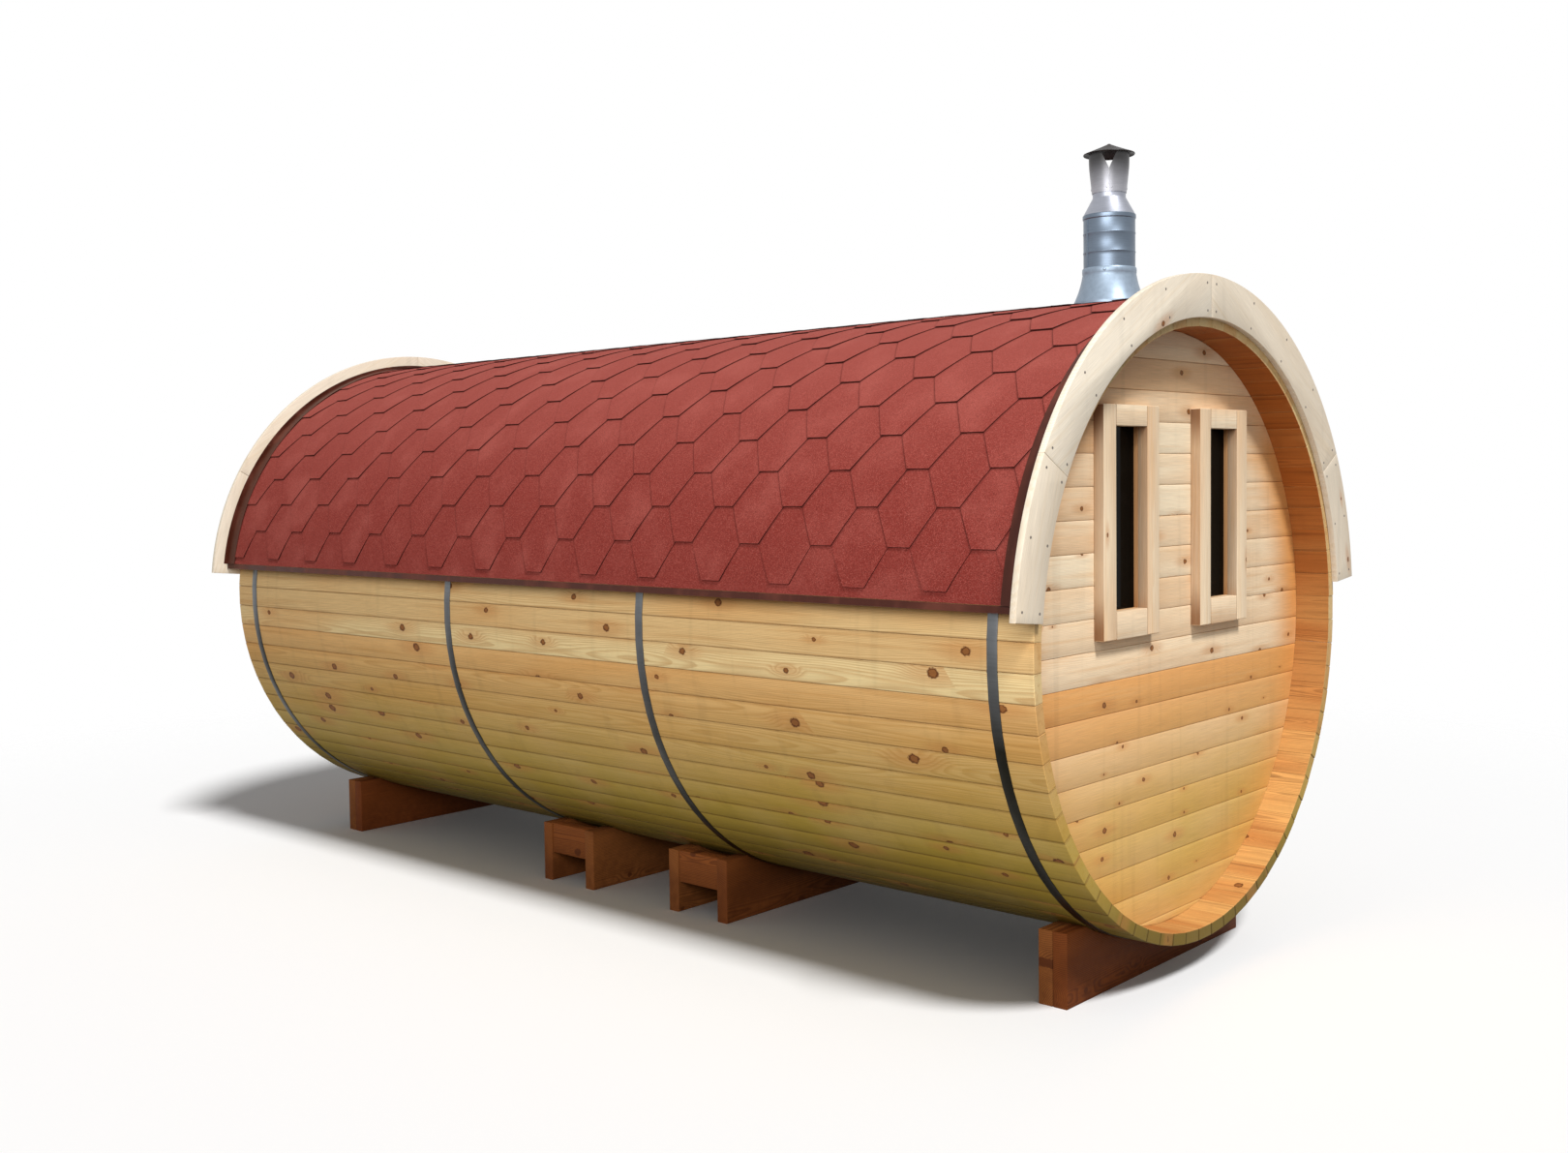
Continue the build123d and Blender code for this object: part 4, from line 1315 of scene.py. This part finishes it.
class SAUNA_OT_shingles(bpy.types.Operator):
    """Lays the hexagonal shingles over the roof, row by row, with a starter strip and a ridge course"""

    bl_idname = "sauna.shingles"
    bl_label = "Shingles"

    def execute(self, context):
        build_up, rows_covered, last_row = 0.0069, 2.04, math.radians(86.0)
        self.sizes = context.scene.sauna_sizes
        self.base = COVER_OUTER - build_up
        self.band = rows_covered * COVER_OUTER * self.sizes.row_turn
        self.verge = HALF - HAIRLINE
        shape = Shape(300)
        for side in (-1, 1):
            self.starter(shape, side)
            row = 0
            while self.row_angle(row) < last_row:
                self.lay_row(shape, side, row)
                row += 1
        self.ridge(shape)
        shape.make("shingle_tabs", [shingle_grit(), bitumen_edge()], ["shingle_cover"], 40.0)
        return {"FINISHED"}

    def row_angle(self, row):
        return self.sizes.first_row + row * self.sizes.row_turn

    def bend(self, side, turn, radius, y):
        return Vector((side * radius * math.cos(turn), y, AXIS + radius * math.sin(turn)))

    def lay(self, shape, side, grid, marks, board):
        """Bends a sheet over one side, from rows of turn, radius and place, open round the flue."""
        inner, outer = (
            [[self.bend(side, turn, radius + lift, y) for turn, radius, y in row] for row in grid]
            for lift in (0.0, self.sizes.shingle_sheet)
        )

        def keep(row, column):
            middle = (outer[row][column] + outer[row + 1][column + 1]) / 2
            return math.hypot(middle.x, middle.y - CHIMNEY_Y) > FLUE_CLEAR

        add_sheet(shape, outer, inner, marks, board, keep=keep)

    def starter(self, shape, side):
        """A strip along the eave, under the lowest tabs."""
        margin, step_turn, middle = 0.05, 1.7, 0.8
        turns = [math.radians(COVER_TURN + margin + step_turn * step) for step in range(7)]
        along = [-self.verge, -middle, middle, self.verge]
        grid = [[(turn, self.base, y) for y in along] for turn in turns]
        marks = [[(y, PLAIN_GRIT, 0.0) for y in along] for turn in turns]
        self.lay(shape, side, grid, marks, 0.0)

    def lay_row(self, shape, side, row):
        """One row of tabs, half a tab aside from the next row."""
        pitch, lead = self.sizes.tab_pitch, 0.166
        first = -HALF + lead + (0.0 if row % 2 else pitch / 2)
        for tab in range(-1, math.ceil(2 * HALF / pitch) + 1):
            self.lay_tab(shape, side, self.row_angle(row), first + tab * pitch)

    def lay_tab(self, shape, side, start, centre):
        """One tab with the band above it, bent over the roof, lifting towards its lower edge."""
        sizes, draw = self.sizes, shape.draw
        board = draw.random() / GRAIN_SHIFT
        curl = [draw.uniform(0.2, 1.0) * sizes.tab_curl for corner in range(2)]
        columns, joint, lap, least = 4, 0.0015, 0.00455, 0.004
        crown = math.radians(89.7)
        rise = COVER_OUTER * sizes.row_turn - joint
        foot, shoulder, full = sizes.tab_foot / 2, sizes.tab_shoulder / 2, sizes.tab_pitch / 2 - HAIRLINE
        stations = [(rise * step / 4, foot + (shoulder - foot) * step / 4) for step in range(5)]
        stations += [(rise + joint + (self.band - rise) * step / 4, full) for step in range(5)]
        limit = COVER_OUTER * (crown - start)
        last = stations[-1][0]
        grid, marks = [], []
        for up, half in stations:
            low, high = max(centre - half, -self.verge), min(centre + half, self.verge)
            if high - low < least or up > limit:
                continue
            lift = lap * (1.0 - up / last)
            free = max(0.0, 1.0 - up / rise)
            row = []
            for column in range(columns + 1):
                share = column / columns
                edge = 2.0 * share - 1.0
                raised = (curl[0] + (curl[1] - curl[0]) * share) * free * (1.0 + 0.5 * edge * edge)
                row.append((start + up / COVER_OUTER, self.base + lift + raised, low + (high - low) * share))
            grid.append(row)
            marks.append([(y - centre - board * GRAIN_SHIFT, up, 0.0) for turn, radius, y in row])
        if len(grid) > 1:
            self.lay(shape, side, grid, marks, board)

    def ridge(self, shape):
        """Short lengths bent over the ridge, each lapping the next."""
        length, step, least, over, lap = 0.3, 0.1675, 0.05, 0.0052, 0.0028
        half_turn, step_turn = 5.2, 1.3
        turns = [math.radians(90.0 - half_turn + step_turn * place) for place in range(9)]
        start = -self.verge
        while start < self.verge - least:
            board = shape.draw.random() / GRAIN_SHIFT
            stop = min(start + length, self.verge)
            grid = []
            for place in range(6):
                y = start + (stop - start) * place / 5
                radius = self.base + over + lap * (1.0 - (y - start) / length)
                grid.append([(turn, radius, y) for turn in turns])
            marks = [[(-board * GRAIN_SHIFT, PLAIN_GRIT, 0.0) for turn in turns] for row in grid]
            self.lay(shape, 1, grid, marks, board)
            start += step


class SAUNA_OT_verge(bpy.types.Operator):
    """Folds the verge flashings between the shingles and the arch boards, their legs wide enough to stand as
    painted shadow behind the arch boards
    """

    bl_idname = "sauna.verge"
    bl_label = "Verge flashings"

    def execute(self, context):
        metal = context.scene.sauna_sizes.sheet_metal
        # A real flashing, its leg made wide enough to show past the arch boards as painted shadow behind them.
        shadow_wide_leg, lip, steps = 0.078, 0.016, 82
        foot, end_play = COVER_OUTER + 0.0016, 0.0001
        profile = [(0.0, 0.0), (shadow_wide_leg, 0.0), (shadow_wide_leg, metal), (metal, metal), (metal, lip), (0.0, lip)]
        for name, end in (("front", -1), ("rear", 1)):
            points, grain = [], []
            for step in range(steps + 1):
                turn = COVER_TURN + (180.0 - 2 * COVER_TURN) * step / steps
                for inward, rise in profile:
                    points.append(spun(turn, foot + rise, end * (HALF - end_play - inward)))
                    grain.append((math.radians(turn), inward, rise))
            shape = Shape(340)
            shape.add(points, loft_faces(steps + 1, len(profile)), grain, 0.5)
            shape.make(f"{name}_verge_flashing", [flashing_paint()])
        return {"FINISHED"}


class SAUNA_OT_arches(bpy.types.Operator):
    """Saws the arch boards over both ends and screws them on"""

    bl_idname = "sauna.arches"
    bl_label = "Arch boards"

    def execute(self, context):
        ease = context.scene.sauna_sizes.edge_ease
        joints, gap = [5.5, 30.0, 90.0, 150.0, 174.5], 0.02
        for name, seed, end in (("front", 360, -1), ("rear", 380, 1)):
            low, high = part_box(f"{name}_arch_boards")
            near = low.y if end < 0 else high.y
            place = placed(Vector((0, near, AXIS)), X, Z, Vector((0, -end, 0)))
            shape = Shape(seed)
            heads = Shape(seed + 1)
            for start, stop in zip(joints, joints[1:]):
                self.saw(shape, place, start + gap, stop - gap, high.y - low.y, ease)
                self.screws(heads, start, stop, near, end)
            shape.make(f"{name}_arch", [arch_pine()], [f"{name}_arch_boards"])
            heads.make(f"{name}_arch_screws", [screw_steel()])
        return {"FINISHED"}

    def saw(self, shape, place, start, stop, thickness, ease):
        """One board of the arch, its grain along the chord."""
        overlap, step_turn = 0.012, 1.5
        inner = BARREL - overlap
        steps = max(6, round((stop - start) / step_turn))
        turns = [math.radians(start + (stop - start) * step / steps) for step in range(steps + 1)]
        outline = [(ARCH_OUTER * math.cos(turn), ARCH_OUTER * math.sin(turn)) for turn in turns]
        outline += [(inner * math.cos(turn), inner * math.sin(turn)) for turn in reversed(turns)]
        chord = math.radians((start + stop) / 2 + 90.0)
        tint = shape.draw.uniform(0.05, 0.45)
        add_plate(shape, place, eased_levels(outline, thickness, ease), chord, tint)

    def screws(self, heads, start, stop, face, end):
        """Two rows of screw heads along one board."""
        margin, pitch = 1.6, 14.0
        head, rise, sink = 0.0048, 0.0009, 0.0004
        count = max(2, round((stop - start) / pitch))
        for place in range(count + 1):
            turn = start + margin + (stop - start - 2 * margin) * place / count
            for radius in (BARREL + 0.012, ARCH_OUTER - 0.032):
                add_dome(heads, spun(turn, radius, face), (0, end, 0), head, rise, sink=sink)


class SAUNA_OT_cradles(bpy.types.Operator):
    """Saws the cradle planks and the spacer blocks under the barrel"""

    bl_idname = "sauna.cradles"
    bl_label = "Cradles"

    def execute(self, context):
        thickness, plank_ease, block_ease, block_tint = 0.058, 0.004, 0.003, 0.12
        for order, name in enumerate(("front", "front_middle", "rear_middle", "rear")):
            low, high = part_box(f"{name}_cradle")
            shape = Shape(400 + order)
            levels = eased_levels(self.outline(high.x, high.z), thickness, plank_ease)
            for near in (low.y, high.y - thickness):
                place = placed(Vector((0, near, 0)), X, Z, Y)
                add_plate(shape, place, levels, tint=shape.draw.uniform(0.0, 0.25))
            shape.make(f"{name}_cradle_planks", [stained_timber()], [f"{name}_cradle"])
        for order, name in enumerate(("front_middle_spacers", "rear_middle_spacers")):
            low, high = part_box(name)
            shape = Shape(420 + order)
            for left in (low.x, high.x - thickness):
                corners = (left, low.y, low.z), (left + thickness, high.y, high.z)
                add_box(shape, *corners, "Y", block_ease, block_tint)
            shape.make(f"{name}_blocks", [stained_timber()], [name])
        return {"FINISHED"}

    def outline(self, half, top):
        """Plank on edge with the barrel's curve sawn out of its top, anticlockwise from the lower left."""
        seat = BARREL * CORNER_LIFT + HAIRLINE
        steps = 36
        limit = math.asin(math.sqrt(seat * seat - (AXIS - top) ** 2) / seat)
        points = [(-half, 0.0), (half, 0.0), (half, top)]
        for step in range(steps + 1):
            turn = limit - 2 * limit * step / steps
            points.append((seat * math.sin(turn), AXIS - seat * math.cos(turn)))
        return points + [(-half, top)]


class SAUNA_OT_chimney(bpy.types.Operator):
    """Turns the chimney's casing, flue liner and collar"""

    bl_idname = "sauna.chimney"
    bl_label = "Chimney"

    def execute(self, context):
        self.casing()
        self.liner()
        self.collar()
        return {"FINISHED"}

    def casing(self):
        """Steel pipe with two beads, a banded shoulder, a cone and a rolled neck."""
        low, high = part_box("chimney_casing")
        foot, top = low.z - AXIS, high.z - AXIS
        body, band, neck, hole = 0.095, 0.0975, 0.0607, 0.0582
        cone_foot, cone_top = top - 0.11, top - 0.048
        profile = [(body, foot), (body, COVER_OUTER + 0.17)]
        profile += self.bead(body, COVER_OUTER + 0.185)
        profile += self.bead(body, cone_foot - 0.07)
        profile += [(body, cone_foot - 0.018), (body + 0.0012, cone_foot - 0.0165), (band, cone_foot - 0.015)]
        profile += [(band + 0.0004, cone_foot - 0.009), (band, cone_foot - 0.002), (band - 0.002, cone_foot)]
        profile += [(neck + 0.003, cone_top - 0.004), (neck + 0.0006, cone_top), (neck, cone_top + 0.004)]
        profile += [(neck, top - 0.006), (neck + 0.0016, top - 0.004), (neck + 0.0016, top - 0.0012)]
        profile += [(neck, top), (hole, top), (hole, foot)]
        shape = Shape(440)
        # Above the cone's foot the pipe takes the brighter steel, as painted light.
        add_lathe(shape, profile, cone_foot - 0.001)
        self.seam(shape, body, COVER_OUTER + 0.13, cone_foot - 0.02)
        shape.make("chimney_pipe", [chimney_steel(), neck_steel()], ["chimney_casing"])

    def bead(self, radius, height):
        """A swaged bead round the casing."""
        step, width = 0.0016, 0.008
        rise = ((-0.5, 0.0), (-0.25, 0.75), (0.0, 1.0), (0.25, 0.75), (0.5, 0.0))
        return [(radius + step * out, height + width * up) for up, out in rise]

    def seam(self, shape, radius, low, high):
        """An upright folded seam on the casing."""
        turn = math.radians(152.0)
        width, fold, ease = 0.012, 0.0024, 0.0008
        place = placed(stood(turn, radius + SEAT, low), Z, spoke(turn + math.pi / 2))
        add_board(shape, place, rounded(width, fold, ease), high - low, ease)

    def liner(self):
        """Flue pipe with a rolled upper edge."""
        low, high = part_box("flue_liner")
        foot, top = low.z - AXIS, high.z - AXIS
        outer, inner, roll = 0.058, 0.0555, 0.0009
        profile = [(outer, foot), (outer, top - 0.004)]
        profile += [(outer + roll, top - 0.003), (outer + roll, top - 0.001), (outer - 0.0005, top)]
        profile += [(inner + 0.0004, top), (inner, top - 0.001), (inner, foot)]
        shape = Shape(442)
        add_lathe(shape, profile)
        shape.make("flue_pipe", [chimney_steel()], ["flue_liner"])

    def collar(self):
        """Flared collar on the ridge, with a clamp band and its screw."""
        low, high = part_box("chimney_collar")
        foot, top = low.z - AXIS, high.z - AXIS
        base, neck, hole = 0.131, 0.0977, 0.0952
        flare, flare_foot, flare_top, steps = base - 0.0035, foot + 0.016, top - 0.024, 8
        profile = [(base, foot), (base, foot + 0.008), (base - 0.0012, foot + 0.0115), (flare, flare_foot)]
        for step in range(1, steps + 1):
            share = step / (steps + 1)
            sag = 0.0035 * math.sin(math.pi * share)
            radius = flare + (neck + 0.001 - flare) * share - sag
            profile.append((radius, flare_foot + (flare_top - flare_foot) * share))
        profile += [(neck + 0.001, flare_top), (neck + 0.002, top - 0.021), (neck + 0.0024, top - 0.012)]
        profile += [(neck + 0.002, top - 0.003), (neck, top), (hole, top), (hole, foot)]
        shape = Shape(444)
        add_lathe(shape, profile)
        clamp = math.radians(200.0)
        add_dome(shape, stood(clamp, neck + 0.0022, top - 0.012), spoke(clamp), 0.006, 0.004)
        shape.make("roof_collar", [collar_zinc()], ["chimney_collar"])


class SAUNA_OT_rain_cap(bpy.types.Operator):
    """Folds the rain cap with its rolled rim, its notched sleeve and rivets"""

    bl_idname = "sauna.rain_cap"
    bl_label = "Rain cap"

    def execute(self, context):
        low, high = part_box("rain_cap")
        radius = (high.x - low.x) / 2
        top = high.z - AXIS
        base = top - 0.042
        tip, shoulder = 0.0015, 0.006
        third, two_thirds = radius * 0.33, radius * 0.66
        profile = [(radius - 0.004, base + 0.0005), (radius - 0.0012, base), (radius, base + 0.002)]
        profile += [(radius - 0.001, base + 0.0042), (two_thirds, base + 0.0165), (third, base + 0.029)]
        profile += [(shoulder, top - 0.002), (tip, top - 0.0012)]
        profile += [(tip, top - 0.0035), (shoulder, top - 0.0044)]
        profile += [(third, base + 0.0262), (two_thirds, base + 0.0138), (radius - 0.0045, base + 0.003)]
        shape = Shape(460)
        add_lathe(shape, profile)
        add_dome(shape, (0, CHIMNEY_Y, AXIS + top - 0.0022), Z, 0.0065, 0.0022)
        for quarter in range(4):
            self.sleeve(shape, math.radians(30.0 + 90.0 * quarter), low.z - AXIS, base)
        shape.make("rain_cap_sheet", [cap_shade_black(), sleeve_steel()], ["rain_cap"])
        return {"FINISHED"}

    def sleeve(self, shape, start, foot, head):
        """A quarter of the flared sleeve under the cap, with half a notch at each side of it."""
        near, far, metal, tuck = 0.0611, 0.0757, 0.0025, 0.001
        notch_half, notch_height = 0.027, 0.058
        quarter, columns, rows = math.pi / 2, 14, 12
        outer, inner, marks = [], [], []
        for row in range(rows + 1):
            share = row / rows
            height = foot + (head + tuck - foot) * share
            radius = near + (far - near) * share
            opening = max(0.0, 1.0 - (head - height) / notch_height)
            trim = math.asin((notch_half * opening + SEAT) / radius)
            turns = [start + trim + (quarter - 2 * trim) * column / columns for column in range(columns + 1)]
            inner.append([stood(turn, radius, height) for turn in turns])
            outer.append([stood(turn, radius + metal, height) for turn in turns])
            marks.append([(turn, height, 0.0) for turn in turns])
        add_sheet(shape, outer, inner, marks, 0.5, 1)
        margin, height, stand_off = 0.14, 0.016, 0.0014
        rivet, rivet_rise = 0.0034, 0.002
        for turn in (start + margin, start + quarter - margin):
            place = stood(turn, near + metal + stand_off, foot + height)
            add_dome(shape, place, spoke(turn), rivet, rivet_rise, finish=1)


# Stage


def told_apart(g, lighting, looks):
    """One shader for rays that light things, another for rays from the camera, a reflection or glass."""
    path = g.node("ShaderNodeLightPath").outputs
    shiny = g.math("MAXIMUM", path["Is Glossy Ray"], path["Is Transmission Ray"])
    seen = g.math("MAXIMUM", path["Is Camera Ray"], shiny)
    return g.node("ShaderNodeMixShader", {"Fac": seen, 1: lighting, 2: looks}).outputs[0]


class SAUNA_OT_stage(bpy.types.Operator):
    """Sets up the floor, the light and the camera"""

    bl_idname = "sauna.stage"
    bl_label = "Stage"

    def execute(self, context):
        stage = context.scene.sauna_stage
        context.scene.view_settings.view_transform = "Standard"
        self.floor(context)
        self.room(context, stage)
        self.lamps(context, stage)
        self.camera(context, stage)
        return {"FINISHED"}

    def floor(self, context):
        """White floor that fades out, so that only the shadow near the barrel shows."""
        reach, near, far = 60.0, 4.2, 7.5
        mesh = bpy.data.meshes.new("studio_floor")
        corners = [(-reach, -reach, 0), (reach, -reach, 0), (reach, reach, 0), (-reach, reach, 0)]
        mesh.from_pydata(corners, [], [(0, 1, 2, 3)])
        floor = bpy.data.objects.new("studio_floor", mesh)
        context.scene.collection.objects.link(floor)
        material = bpy.data.materials.new("studio floor")
        g = cleared(material)
        white = g.node("ShaderNodeBsdfDiffuse", {"Color": paint("floor")}).outputs[0]
        glow = g.node("ShaderNodeEmission", {"Color": WHITE, "Strength": 0.03}).outputs[0]
        ground = g.node("ShaderNodeAddShader", {0: white, 1: glow}).outputs[0]
        away = g.node("ShaderNodeVectorMath", {0: g.place()}, operation="LENGTH").outputs["Value"]
        gone = g.node("ShaderNodeBsdfTransparent").outputs[0]
        fading = {"Fac": g.spread(away, near, far), 1: ground, 2: gone}
        pale = g.node("ShaderNodeMixShader", fading).outputs[0]
        dim = g.node("ShaderNodeBsdfDiffuse", {"Color": (0.25, 0.25, 0.25, 1.0)}).outputs[0]
        g.node("ShaderNodeOutputMaterial", {"Surface": told_apart(g, dim, pale)})
        mesh.materials.append(material)

    def room(self, context, stage):
        """Weak even light from all round, in a room that looks white."""
        world = bpy.data.worlds.new("studio")
        context.scene.world = world
        g = cleared(world)
        light = g.node("ShaderNodeBackground", {"Color": WHITE, "Strength": stage.room_strength}).outputs[0]
        white = g.node("ShaderNodeBackground", {"Color": WHITE, "Strength": 1.0}).outputs[0]
        g.node("ShaderNodeOutputWorld", {"Surface": told_apart(g, light, white)})

    def lamps(self, context, stage):
        """A soft sun, and a broad fill light that leaves the floor's shadow alone."""
        key = bpy.data.lights.new("key_light", "SUN")
        key.energy = stage.key_strength
        key.angle = math.radians(11.0)
        self.aim(context, key, Vector((-1.5, -4.6, 6.9)), Vector((0, 0, 0)))
        fill = bpy.data.lights.new("fill_light", "AREA")
        fill.shape = "RECTANGLE"
        fill.size = 6.0
        fill.size_y = 4.0
        fill.energy = stage.fill_strength
        lamp = self.aim(context, fill, Vector((-7.8, -4.6, 4.5)), Vector((0, -0.4, 1.2)))
        shaded = bpy.data.collections.new("fill_light_off")
        shaded.objects.link(bpy.data.objects["studio_floor"])
        shaded.collection_objects[0].light_linking.link_state = "EXCLUDE"
        lamp.light_linking.receiver_collection = shaded

    def aim(self, context, light, place, target):
        lamp = bpy.data.objects.new(light.name, light)
        lamp.location = place
        lamp.rotation_euler = (target - place).to_track_quat("-Z", "Y").to_euler()
        context.scene.collection.objects.link(lamp)
        return lamp

    def camera(self, context, stage):
        """Stands the camera where the photograph was taken from."""
        data = bpy.data.cameras.new("photo_camera")
        data.sensor_width = 36.0
        data.lens = 35.845
        data.shift_x = 0.00405
        data.shift_y = -0.01377
        data.clip_end = 200.0
        yaw, pitch, roll = stage.camera_yaw, stage.camera_pitch, stage.camera_roll
        ahead = Vector((math.sin(yaw) * math.cos(pitch), math.cos(yaw) * math.cos(pitch), math.sin(pitch)))
        right = Vector((math.cos(yaw), -math.sin(yaw), 0))
        up = right.cross(ahead)
        leaning = right * math.cos(roll) + up * math.sin(roll)
        upright = up * math.cos(roll) - right * math.sin(roll)
        camera = bpy.data.objects.new("photo_camera", data)
        camera.matrix_world = placed(Vector(stage.camera_place), leaning, upright, -ahead)
        context.scene.collection.objects.link(camera)
        context.scene.camera = camera


# Panel and registration


class SAUNA_PT_panel(bpy.types.Panel):
    """Lists the pieces of the sauna with their sizes and colours"""

    bl_idname = "SAUNA_PT_panel"
    bl_label = "Barrel sauna"
    bl_space_type = "VIEW_3D"
    bl_region_type = "UI"
    bl_category = "Sauna"

    def draw(self, context):
        for piece in PIECES:
            self.layout.operator(piece.bl_idname)
        for settings in (context.scene.sauna_sizes, context.scene.sauna_colours, context.scene.sauna_stage):
            box = self.layout.box()
            for name in settings.bl_rna.properties.keys():
                if name not in ("rna_type", "name"):
                    box.prop(settings, name)


PIECES = (
    SAUNA_OT_staves,
    SAUNA_OT_hoops,
    SAUNA_OT_walls,
    SAUNA_OT_windows,
    SAUNA_OT_door,
    SAUNA_OT_roof_boards,
    SAUNA_OT_shingles,
    SAUNA_OT_verge,
    SAUNA_OT_arches,
    SAUNA_OT_cradles,
    SAUNA_OT_chimney,
    SAUNA_OT_rain_cap,
    SAUNA_OT_stage,
)
SETTINGS = (SaunaSizes, SaunaColours, SaunaStage)


def register():
    for kind in SETTINGS + PIECES + (SAUNA_PT_panel,):
        bpy.utils.register_class(kind)
    bpy.types.Scene.sauna_sizes = PointerProperty(type=SaunaSizes)
    bpy.types.Scene.sauna_colours = PointerProperty(type=SaunaColours)
    bpy.types.Scene.sauna_stage = PointerProperty(type=SaunaStage)


def unregister():
    del bpy.types.Scene.sauna_stage
    del bpy.types.Scene.sauna_colours
    del bpy.types.Scene.sauna_sizes
    for kind in reversed(SETTINGS + PIECES + (SAUNA_PT_panel,)):
        bpy.utils.unregister_class(kind)


def main():
    register()
    bpy.ops.sauna.staves()
    bpy.ops.sauna.hoops()
    bpy.ops.sauna.walls()
    bpy.ops.sauna.windows()
    bpy.ops.sauna.door()
    bpy.ops.sauna.roof_boards()
    bpy.ops.sauna.shingles()
    bpy.ops.sauna.verge()
    bpy.ops.sauna.arches()
    bpy.ops.sauna.cradles()
    bpy.ops.sauna.chimney()
    bpy.ops.sauna.rain_cap()
    bpy.ops.sauna.stage()


if __name__ == "__main__":
    main()
